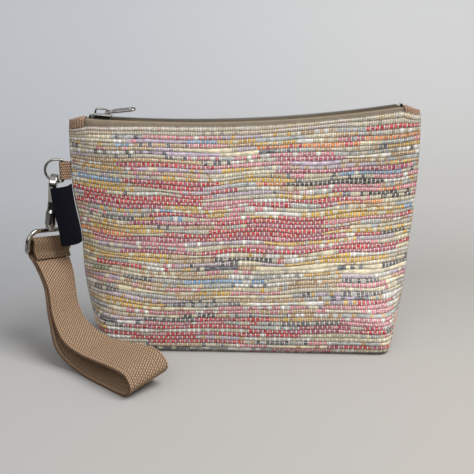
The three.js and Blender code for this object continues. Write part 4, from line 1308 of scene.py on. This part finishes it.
    def build(self, finishes: Finishes) -> None:
        """Makes both tapes, both coils and both end tabs.

        Args:
            finishes: all the object's materials.
        """
        for side in Side:
            self.tape(side, finishes.tape)
            self.coil(side, finishes.coil)
        for end in (-1, 1):
            self.end_tab(end, finishes.tab)


@dataclass
class Ribbon:
    """A band of cloth along a path: a flat section with round edges, carried point by point."""

    width: float
    thickness: float
    columns: int
    samples: int = 4
    relief: float = 0.26
    stitch: float = 1.9
    scallop: float = 0.02

    def section(self) -> tuple[Array, Array, Array]:
        """Places round the section: across, up in half thicknesses, and the column count.

        Returns:
            Three arrays, one value of each per point round the section.
        """
        count = self.columns * self.samples + 1
        flat = np.linspace(-1, 1, count)
        edge = np.array([0.75, 0.0, -0.75])
        side = np.array([1.004, 1.012, 1.004])
        across = np.concatenate([flat, side, flat[::-1], -side])
        up = np.concatenate([np.ones(count), edge, -np.ones(count), -edge])
        up[[0, count - 1, count + 3, 2 * count + 2]] *= 0.92
        return across * self.width / 2, up, (np.clip(across, -1, 1) + 1) / 2 * self.columns

    def stitches(self, column: Array, along: Array) -> Array:
        """Height of the yarns, 0 to 1: each column's stitches lie half a stitch from its neighbour's.

        Args:
            column: place across, in columns of yarn.
            along: place along the band in mm.

        Returns:
            One height per point.
        """
        share = np.abs(column % 1 - 0.5)
        wave = np.abs(np.sin(np.pi * (along / self.stitch + 0.5 * column)))
        return np.sqrt(wave) * np.sqrt(np.clip(1 - (2 * share) ** 4, 0, 1))

    def offsets(self, run: Array) -> tuple[Array, Array, Array]:
        """Across, up and UV of every point, for a run of lengths along the path.

        Args:
            run: distance along the path of each of its points.

        Returns:
            Three grids, one row per point of the path.
        """
        across, up, column = self.section()
        bumps = self.stitches(column[None, :], run[:, None])
        half = self.thickness / 2 - self.relief * (1 - bumps)
        scallop = 1 + self.scallop * np.sin(2 * np.pi * run / self.stitch)[:, None]
        uv = np.stack(np.broadcast_arrays(column[None, :], run[:, None]), axis=-1)
        return across[None, :] * scallop, up[None, :] * half, uv

    def faces(self, rows: int) -> list[list[int]]:
        """Quads round the band, with its two ends closed by quads from face to face.

        Args:
            rows: number of points of the path.

        Returns:
            The faces, as lists of point numbers.
        """
        count = self.columns * self.samples + 1
        around = 2 * count + 6
        faces = grid_faces(rows, around, wrap_columns=True).tolist()
        for start in (0, (rows - 1) * around):
            for n in range(count - 1):
                pair = (n, n + 1, 2 * count + 1 - n, 2 * count + 2 - n)
                faces.append([start + k for k in pair])
            faces.append([start + k for k in range(count - 1, count + 4)])
            faces.append([start + k for k in (2 * count + 2, 2 * count + 3, 2 * count + 4, 2 * count + 5, 0)])
        return faces


@dataclass
class WristStrap:
    """The webbing loop: over the eye's bar, sewn to itself below it, and down to lie on the floor."""

    width: float = 30.0
    thickness: float = 1.8
    columns: int = 20
    point_step: float = 0.475
    floor_room: float = 0.03
    reach: float = 111.0
    fold: float = 5.6
    play: float = 0.6
    eye_half: float = 1.3
    stitch_drop: float = 5.0
    drift: float = 15.0
    bend: float = 7.5
    drift_rise: tuple[float, float] = (0.15, 0.95)
    twist: float = math.radians(13)
    twist_in: tuple[float, float] = (0.12, 0.4)
    twist_out: tuple[float, float] = (0.62, 1)
    roll_rise: tuple[float, float] = (0.25, 0.6)
    fan: float = math.radians(-7)
    lift: float = 6.0
    far_run: tuple[float, float] = (0.45, 1)
    leg_top: float = 0.6
    tuck: float = 0.72
    tuck_drop: float = 2.6
    flap_bow: float = 0.3
    stitch_run: float = 2.4
    stitch_count: int = 8
    stitch_step: float = 3.4
    stitch_length: float = 2.6
    thread: float = 0.34
    route_shares: Pairs = (
        (0.042, 0.915), (0.093, 0.81), (0.158, 0.664), (0.226, 0.483), (0.3, 0.352), (0.389, 0.267),
        (0.505, 0.221), (0.636, 0.221), (0.764, 0.23), (0.882, 0.23), (0.9545, 0.208), (1, 0.122),
        (0.959, 0.036), (0.882, 0.0158), (0.764, 0.015), (0.61, 0.0175), (0.475, 0.05), (0.357, 0.153),
        (0.27, 0.3), (0.204, 0.455), (0.138, 0.64), (0.073, 0.79), (0.018, 0.905),
    )

    def __post_init__(self) -> None:
        """Takes the bar that the strap hangs on from the joint that it swings about."""
        joint = next(j for j in frame["joints"] if j["name"] == "strap_swing")
        self.bar_point = np.array(joint["pos_m"]) / MM
        axis = np.array(joint["axis"])
        self.width_way = np.array([axis[0], axis[1], 0]) / np.hypot(axis[0], axis[1])
        self.run_way = np.array([-self.width_way[1], self.width_way[0], 0])
        self.roll = math.asin(axis[2] / np.linalg.norm(axis))

    def path(self) -> Array:
        """The middle of the webbing in run and height, from the sewn flap round to the other end.

        Returns:
            One row of run and height per point, evenly spaced.
        """
        bar = self.bar_point[2]
        route = spline(np.array(self.route_shares) * [self.reach, bar], 260)
        ply = self.eye_half + self.play + self.thickness / 2
        turn = np.linspace(0, np.pi, 15)
        over = np.stack([ply * np.cos(turn), bar + self.fold + ply * np.sin(turn)], axis=1)
        along = route[1] - route[0]
        aside = np.array([-along[1], along[0]]) / np.linalg.norm(along) * self.thickness
        flap = route[0] + aside
        bowed = (flap + [ply, bar]) / 2 + [self.flap_bow, 0]
        start = np.array([flap, bowed, [ply, bar + self.leg_top]])
        back = np.array([[-ply, bar + self.leg_top], [-ply * self.tuck, bar - self.tuck_drop]])
        whole = np.concatenate([spline(start, 8), over, back, route[::-1]])
        return even(whole, int(lengths(whole)[-1] / self.point_step))

    def place(self, run: Array, height: Array, across: Array) -> Array:
        """Points in the room: the loop twists on its way down, drifts to the front and fans out.

        Args:
            run: how far out from the bar, level.
            height: over the floor.
            across: from the middle of the webbing.

        Returns:
            Points, in the shape that the arguments broadcast to.
        """
        bar = self.bar_point[2]
        rise = height / bar
        far = smooth(run / self.reach, *self.far_run)
        twist = self.twist * smooth(rise, *self.twist_in) * (1 - smooth(rise, *self.twist_out))
        lift = self.lift * far * (0.5 - across / self.width)
        tilt = self.roll * smooth(rise, *self.roll_rise)
        bend = self.bend * np.maximum(run / self.reach - 0.5, 0) * 2
        drift = self.drift * (1 - smooth(rise, *self.drift_rise)) + bend
        angle = twist + self.fan * far
        cos, sin = np.cos(angle), np.sin(angle)
        way_x = self.width_way[0] * cos - self.width_way[1] * sin
        way_y = self.width_way[0] * sin + self.width_way[1] * cos
        side = drift - np.sin(tilt) * np.maximum(height - bar, -self.stitch_drop)
        level = across * np.cos(tilt)
        x = self.bar_point[0] + self.run_way[0] * run + self.width_way[0] * side + way_x * level
        y = self.bar_point[1] + self.run_way[1] * run + self.width_way[1] * side + way_y * level
        return np.stack([x, y, height + lift + across * np.sin(tilt)], axis=-1)

    def build(self, finish: bpy.types.Material) -> bpy.types.Object:
        """Makes the webbing as one band along its path.

        Args:
            finish: its material.

        Returns:
            The new piece.
        """
        path = self.path()
        run = lengths(path)
        band = Ribbon(self.width, self.thickness, self.columns)
        across, up, uv = band.offsets(run)
        flat = path[:, None, :] + path_normals(path)[:, None, :] * up[..., None]
        points = self.place(flat[..., 0], flat[..., 1], across)
        points[..., 2] = np.maximum(points[..., 2], self.floor_room)
        faces = band.faces(len(path))
        piece = make_piece("wrist_strap_webbing", points, faces, finish, "strap", uv)
        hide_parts("wrist_strap")
        LOG.info("strap length %.1f mm", run[-1])
        return piece

    def stitching(self, finish: bpy.types.Material) -> bpy.types.Object:
        """Makes the row of thread that holds the flap down: short bowed stitches, each a closed tube.

        Args:
            finish: its material.

        Returns:
            The new piece.
        """
        path = self.path()
        at = int(np.searchsorted(lengths(path), self.stitch_run))
        along = (path[at + 1] - path[at - 1]) / np.linalg.norm(path[at + 1] - path[at - 1])
        out = np.array([along[1], -along[0]])
        rings, sides = 11, 8
        share = np.linspace(0, 1, rings)[None, :, None]
        turn = np.linspace(0, 2 * np.pi, sides + 1)[None, None, :-1]
        radius = self.thread * np.sqrt(np.sin(np.pi * (0.04 + 0.92 * share)))
        first = (np.arange(self.stitch_count)[:, None, None] - self.stitch_count / 2) * self.stitch_step
        across = first + share * self.stitch_length + 0 * turn
        bow = self.thickness / 2 + self.thread * (np.sin(np.pi * share) - 0.4)
        off = bow + radius * np.cos(turn) + 0 * across
        slip = radius * np.sin(turn) + 0 * across
        flat = path[at] + out * off[..., None] + along * slip[..., None]
        points = self.place(flat[..., 0], flat[..., 1], across)
        size = rings * sides
        tube = grid_faces(rings, sides, wrap_columns=True).tolist()
        tube += [list(range(sides)), list(range(size - sides, size))]
        faces = [[k + n * size for k in face] for n in range(self.stitch_count) for face in tube]
        return make_piece("strap_stitching", points, faces, finish, "strap")


@dataclass
class SeamLabel:
    """A narrow woven label folded in two, its cut ends caught in the side seam."""

    shape: PouchShape
    height: float = 39.5
    top: float = 109.5
    reach: float = 11.7
    bulge: float = 9.6
    ply: float = 0.35
    slack: float = 0.3
    sag: float = 0.09
    levels: int = 41
    fold_steps: int = 8
    bow_shares: Pairs = ((0, 0), (0.1, 0.58), (0.44, 0.9), (1, 1))

    def build(self, finish: bpy.types.Material) -> bpy.types.Object:
        """Makes the label: a curve out from the seam, round its fold and back, drawn down in height.

        Args:
            finish: its material.

        Returns:
            The new piece.
        """
        curve = even(spline(np.array(self.bow_shares) * [self.reach, self.bulge], 80), 28)
        normal = path_normals(curve)
        middle = (self.slack + self.ply) / 2
        turn = (np.pi / 2 - np.arange(1, self.fold_steps) / self.fold_steps * np.pi)[:, None]
        tip = (normal[-1, 1], -normal[-1, 0])
        fold = np.concatenate([tip[0] * np.cos(turn) - tip[1] * np.sin(turn),
                               tip[1] * np.cos(turn) + tip[0] * np.sin(turn)], axis=1)
        normals = np.concatenate([normal, fold, -normal[::-1]])
        centres = np.concatenate([curve, np.repeat(curve[-1:], len(turn), axis=0), curve[::-1]])
        rows = np.linspace(0, 1, self.levels)[:, None]
        z = self.top - self.height * rows
        wall = self.shape.zip_low_height - self.shape.edge_drop - self.shape.hem_radius
        rise = (z - self.shape.hem_radius) / wall
        seam = self.shape.half_width * value_at(self.shape.width_shares, rise) - self.shape.drawn_in(rise)
        seam = seam + self.shape.gap + self.ply
        faces_of = []
        for offset in (self.ply / 2, -self.ply / 2):
            flat = centres + normals * (middle + offset)
            x = -seam - flat[None, :, 0]
            y = -flat[None, :, 1] + 0 * z
            faces_of.append(np.stack([x, y, z - flat[None, :, 0] * self.sag], axis=-1))
        points = np.concatenate([faces_of[0], faces_of[1][::-1]])
        piece = make_piece("blank_seam_label", points, closed_bag(points), finish, "pouch")
        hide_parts("seam_label")
        return piece


@dataclass
class RingAndTab:
    """The D-ring, bent from round wire, and the webbing tab folded round its bar."""

    shape: PouchShape
    wire: float = 1.8
    height: float = 14.6
    corner: float = 1.5
    length: float = 11.9
    place_x: float = -120.2
    level: float = 118.5
    wire_sides: int = 16
    tab_width: float = 11.8
    tab_ply: float = 1.2
    tab_columns: int = 7
    tab_eyelet: float = 0.73
    tab_parting: float = 0.62
    tab_slack: float = 0.25
    tab_slack_share: float = 0.55
    tab_gap: float = 0.05

    def ring(self, finish: bpy.types.Material) -> bpy.types.Object:
        """Makes the ring: a circle carried round a D of a bar, two corners and half a circle.

        Args:
            finish: its material.

        Returns:
            The new piece.
        """
        half = self.height / 2
        bow = half - self.length
        turn = np.linspace(0, np.pi / 2, 7)
        upper = self.corner * np.stack([np.cos(turn) - 1, np.sin(turn) - 1], 1) + [0, half]
        sweep = np.linspace(np.pi / 2, 3 * np.pi / 2, 49)
        arc = np.stack([bow + half * np.cos(sweep), half * np.sin(sweep)], 1)
        path = np.concatenate([upper, arc, upper[::-1] * [1, -1]])
        along = np.roll(path, -1, axis=0) - np.roll(path, 1, axis=0)
        along /= np.linalg.norm(along, axis=1, keepdims=True)
        out = np.stack([along[:, 1], -along[:, 0]], 1)
        psi = np.linspace(0, 2 * np.pi, self.wire_sides + 1)[None, :-1]
        radius = self.wire / 2
        x = self.place_x + path[:, :1] + out[:, :1] * radius * np.cos(psi)
        z = self.level + path[:, 1:] + out[:, 1:] * radius * np.cos(psi)
        y = radius * np.sin(psi) + 0 * x
        faces = grid_faces(len(path), self.wire_sides, wrap_rows=True, wrap_columns=True).tolist()
        piece = make_piece("d_ring_wire", np.stack([x, y, z], -1), faces, finish, "ring")
        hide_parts("d_ring")
        return piece

    def tab(self, finish: bpy.types.Material) -> bpy.types.Object:
        """Makes the tab: webbing from the seam round the bar and back, as one band.

        Args:
            finish: its material.

        Returns:
            The new piece.
        """
        share = value_at(self.shape.width_shares, np.array([self.level / self.shape.zip_low_height]))[0]
        length = -self.shape.half_width * share - self.shape.gap - self.place_x
        ply = self.wire * self.tab_eyelet + self.tab_ply / 2
        parting = self.tab_parting * np.pi / 2
        turn = np.linspace(parting, 2 * np.pi - parting, 31)
        round_bar = np.stack([ply * np.cos(turn), ply * np.sin(turn)], 1)
        near = self.tab_ply / 2 + self.tab_gap
        out, far = length * self.tab_slack_share, near + self.tab_slack
        path = np.concatenate([[[length, near], [out, far]], round_bar, [[out, -far], [length, -near]]])
        path = even(spline(path, 240), 90)
        run = lengths(path)
        band = Ribbon(self.tab_width, self.tab_ply, self.tab_columns)
        across, up, uv = band.offsets(run)
        flat = path[:, None, :] + path_normals(path)[:, None, :] * up[..., None]
        points = np.stack([self.place_x + flat[..., 0], flat[..., 1], self.level + across + 0 * up], -1)
        faces = band.faces(len(path))
        piece = make_piece("side_tab_webbing", points, faces, finish, "pouch", uv)
        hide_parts("side_tab")
        return piece


@dataclass
class Fittings:
    """The cast and wire fittings: copies of the solids with their edges run soft, as plated casting has."""

    voxel: float = 0.2

    def soften(self, node: str, name: str, finish: bpy.types.Material, body: str,
               passes: int, fill: float = 0.12, lean: float = 0.0) -> bpy.types.Object:
        """A merged copy of a solid, remeshed evenly and smoothed, which stands for it.

        Args:
            node: the solid's name.
            name: the new piece's name.
            finish: its material.
            body: the body that it moves with.
            passes: how often it is smoothed.
            fill: how far the smoothed skin is then let out again, in mm.
            lean: how far it is rolled towards the front about its own length, in degrees.

        Returns:
            The new piece.
        """
        mesh = frame["nodes"][node].data.copy()
        mesh.name = name
        merged = bmesh.new()
        merged.from_mesh(mesh)
        bmesh.ops.remove_doubles(merged, verts=merged.verts, dist=MM / 1000)
        if lean:
            points = np.array([v.co for v in merged.verts])
            middle = points.mean(axis=0)
            along = Vector(np.linalg.svd(points - middle, full_matrices=False)[2][0])
            along *= math.copysign(1, along.x)
            roll = Matrix.Rotation(math.radians(lean), 3, along)
            bmesh.ops.rotate(merged, verts=merged.verts, cent=middle, matrix=roll)
        merged.to_mesh(mesh)
        merged.free()
        piece = bpy.data.objects.new(name, mesh)
        bpy.context.scene.collection.objects.link(piece)
        even_mesh = piece.modifiers.new("even", "REMESH")
        even_mesh.mode = "VOXEL"
        even_mesh.voxel_size = self.voxel * MM
        soft = piece.modifiers.new("soft", "SMOOTH")
        soft.iterations = passes
        soft.factor = 0.5
        full = piece.modifiers.new("full", "DISPLACE")
        full.strength = fill * MM
        full.mid_level = 0.0
        graph = bpy.context.evaluated_depsgraph_get()
        shaped = bpy.data.meshes.new_from_object(piece.evaluated_get(graph))
        piece.modifiers.clear()
        piece.data = shaped
        shaped.polygons.foreach_set("use_smooth", np.ones(len(shaped.polygons), bool))
        shaped.materials.clear()
        shaped.materials.append(finish)
        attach(piece, body)
        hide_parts(node)
        LOG.info("%s: %d faces", name, len(shaped.polygons))
        return piece

    def build(self, finishes: Finishes) -> None:
        """Softens the castings and gives the small solids that stay their finish.

        Args:
            finishes: all the object's materials.
        """
        self.soften("hook_body", "snap_hook_casting", finishes.nickel, "hook", 5)
        self.soften("hook_gate", "snap_hook_gate", finishes.nickel, "gate", 3)
        self.soften("swivel_eye", "swivel_eye_casting", finishes.nickel, "eye", 6)
        self.soften("slider_body", "zip_slider_casting", finishes.dark_nickel, "slider", 2, fill=0.0)
        self.soften("pull_tab", "zip_pull_casting", finishes.dark_nickel, "pull", 2, lean=9)
        for node in ("gate_pin", "gate_spring"):
            dress(node, finishes.steel)
        for node in ("zip_top_stop_front", "zip_top_stop_back"):
            dress(node, finishes.nickel)
        dress("zip_bottom_stop", finishes.dark_nickel)


def dress(node: str, finish: bpy.types.Material) -> None:
    """Gives a solid that stays in view its finish.

    Args:
        node: the solid's name.
        finish: its material.
    """
    solid = frame["nodes"][node]
    solid.data.materials.clear()
    solid.data.materials.append(finish)


@dataclass
class Studio:
    """The camera at the photograph's angle, a pale sweep of paper and soft lamps."""

    camera_place: tuple[float, float, float] = (-0.005, -0.6, 0.24503)
    pitch: float = 16.03
    focal_pixels: float = 923.6
    picture: float = 474.0
    sensor: float = 36.0
    aim_height: float = 0.06
    flag_reach: tuple[float, float] = (-1.5, -0.24)
    horizon: str = "#232427"
    overhead: str = "#fbfcff"
    seen_sky: str = "#dfe1e3"
    sky_strength: float = 0.7
    lamps: tuple[tuple, ...] = (
        ("overhead_softbox", (0.65, -0.35, 1.25), 0.9, 22),
        ("front_softbox", (-0.3, -1.3, 0.9), 0.8, 5),
    )
    # Paper tones from front to back, left and right; they hold a painted shadow, darkest just behind the
    # object and on its left.
    paper_tones_and_shadow: tuple[tuple[float, str, str], ...] = (
        (-0.17, "#a09f9c", "#a5a09a"), (-0.03, "#a1a09f", "#a39f99"), (0.05, "#969697", "#9f9b96"),
        (0.14, "#939496", "#9b9792"), (0.4, "#aaacaf", "#b0aeab"), (1.2, "#cdcfd3", "#d5d6d5"),
    )

    def camera(self) -> None:
        """Makes the camera, level and turned down by its pitch."""
        data = bpy.data.cameras.new("camera")
        data.sensor_width = self.sensor
        data.lens = self.focal_pixels / self.picture * self.sensor
        data.clip_start = 0.01
        camera = bpy.data.objects.new("camera", data)
        camera.location = self.camera_place
        camera.rotation_euler = (math.radians(90 - self.pitch), 0, 0)
        bpy.context.scene.collection.objects.link(camera)
        bpy.context.scene.camera = camera

    def sheet(self, name: str, x: Array, y: Array, z: Array, finish: bpy.types.Material) -> bpy.types.Object:
        """Makes a sheet that only dresses the stage: as wide as x, with its section in y and z.

        Args:
            name: the sheet's name.
            x: its two side edges.
            y: places along its section.
            z: heights along its section.
            finish: its material.

        Returns:
            The sheet.
        """
        points = np.stack(np.broadcast_arrays(x[None, :], y[:, None], z[:, None]), -1)
        mesh = bpy.data.meshes.new(name)
        mesh.from_pydata(points.reshape(-1, 3).tolist(), [], grid_faces(len(y), 2).tolist())
        mesh.polygons.foreach_set("use_smooth", np.ones(len(mesh.polygons), bool))
        mesh.materials.append(finish)
        sheet = bpy.data.objects.new(name, mesh)
        bpy.context.scene.collection.objects.link(sheet)
        return sheet

    def sweep(self) -> None:
        """Makes the floor and backdrop as one sheet: flat, then a quarter circle, then upright."""
        radius, front, back, high, wide = 0.9, -1.6, 0.55, 2.4, 2.6
        turn = np.linspace(0, np.pi / 2, 25)
        y = np.concatenate([[front], back + radius * np.sin(turn), [back + radius]])
        z = np.concatenate([[0.0], radius - radius * np.cos(turn), [high]])
        self.sheet("paper_sweep", np.array([-wide, wide]), y, z, self.paper())

    def paper(self) -> bpy.types.Material:
        """Matt studio paper: warm in front, cool where it rises, with a painted shadow that is darkest just
        behind the object and darker on its left.

        Returns:
            The material.
        """
        material, tree, shader = Finish("studio_paper", "#a7a49f", 0.95, specular=0.2).start()
        part = add_node(tree, "ShaderNodeSeparateXYZ", {"Vector": Finish.place(tree)})
        right = ramp(tree, part.outputs[0], -0.22, 0.22)
        tone = mixed(tree, right, linear(self.paper_tones_and_shadow[0][1]), linear(self.paper_tones_and_shadow[0][2]))
        before = self.paper_tones_and_shadow[0][0]
        # Each band of tones, with the painted shadow in it.
        for y, left_tone, right_tone in self.paper_tones_and_shadow[1:]:
            further = mixed(tree, right, linear(left_tone), linear(right_tone))
            tone = mixed(tree, ramp(tree, part.outputs[1], before, y), tone, further)
            before = y
        tree.links.new(tone, shader.inputs["Base Color"])
        return material

    def lamp(self, name: str, place: tuple[float, float, float], size: float, watts: float) -> None:
        """Makes a square soft lamp that points at the object.

        Args:
            name: the lamp's name.
            place: where it stands.
            size: length of its side.
            watts: its power.
        """
        data = bpy.data.lights.new(name, "AREA")
        data.size = size
        data.energy = watts
        lamp = bpy.data.objects.new(name, data)
        lamp.location = place
        aim = np.array([0, 0, self.aim_height]) - np.array(place)
        level = math.atan2(math.hypot(aim[0], aim[1]), -aim[2])
        lamp.rotation_euler = (level, 0, math.atan2(aim[1], aim[0]) - math.pi / 2)
        bpy.context.scene.collection.objects.link(lamp)

    def flag(self) -> None:
        """Lays a black card on the floor in front, which only reflections see: it edges bright metal."""
        x, y, z = (np.array(ends) for ends in ((-0.5, 0.5), self.flag_reach, (0.004, 0.004)))
        black = Finish("black_card", "#0c0c0c", 0.95, specular=0.1).start()[0]
        card = self.sheet("black_flag", x, y, z, black)
        card.visible_camera = False
        card.visible_diffuse = False
        card.visible_transmission = False
        card.visible_shadow = False

    def build(self) -> None:
        """Makes the camera, the sweep, the lamps and the world: light above, dim at the horizon."""
        self.camera()
        self.sweep()
        self.flag()
        for name, place, size, watts in self.lamps:
            self.lamp(name, place, size, watts)
        world = bpy.data.worlds.new("studio")
        world.use_nodes = True
        tree = world.node_tree
        ways = add_node(tree, "ShaderNodeTexCoord").outputs["Generated"]
        up = add_node(tree, "ShaderNodeSeparateXYZ", {"Vector": ways}).outputs[2]
        sky = mixed(tree, ramp(tree, up, 0.12, 0.55), linear(self.horizon), linear(self.overhead))
        seen = add_node(tree, "ShaderNodeLightPath").outputs["Is Camera Ray"]
        tone = mixed(tree, seen, sky, linear(self.seen_sky))
        shader = tree.nodes["Background"]
        tree.links.new(tone, shader.inputs["Color"])
        shader.inputs["Strength"].default_value = self.sky_strength
        bpy.context.scene.world = world
        bpy.context.scene.view_settings.view_transform = "Standard"


def main() -> None:
    """Builds the studio and every piece of the wristlet."""
    logging.basicConfig(level=logging.INFO, format="%(name)s %(message)s")
    Studio().build()
    finishes = Finishes()
    shape = PouchShape()
    for side, seed in ((Side.FRONT, 7), (Side.BACK, 19)):
        WovenPanel(shape, side, seed).build(finishes.woven)
        Lining(shape, side).build(finishes.lining)
    ZipFastener(shape).build(finishes)
    SeamLabel(shape).build(finishes.label)
    ring = RingAndTab(shape)
    ring.ring(finishes.nickel)
    ring.tab(finishes.tab)
    strap = WristStrap()
    strap.build(finishes.strap)
    strap.stitching(finishes.tape)
    Fittings().build(finishes)


if __name__ == "__main__":
    main()
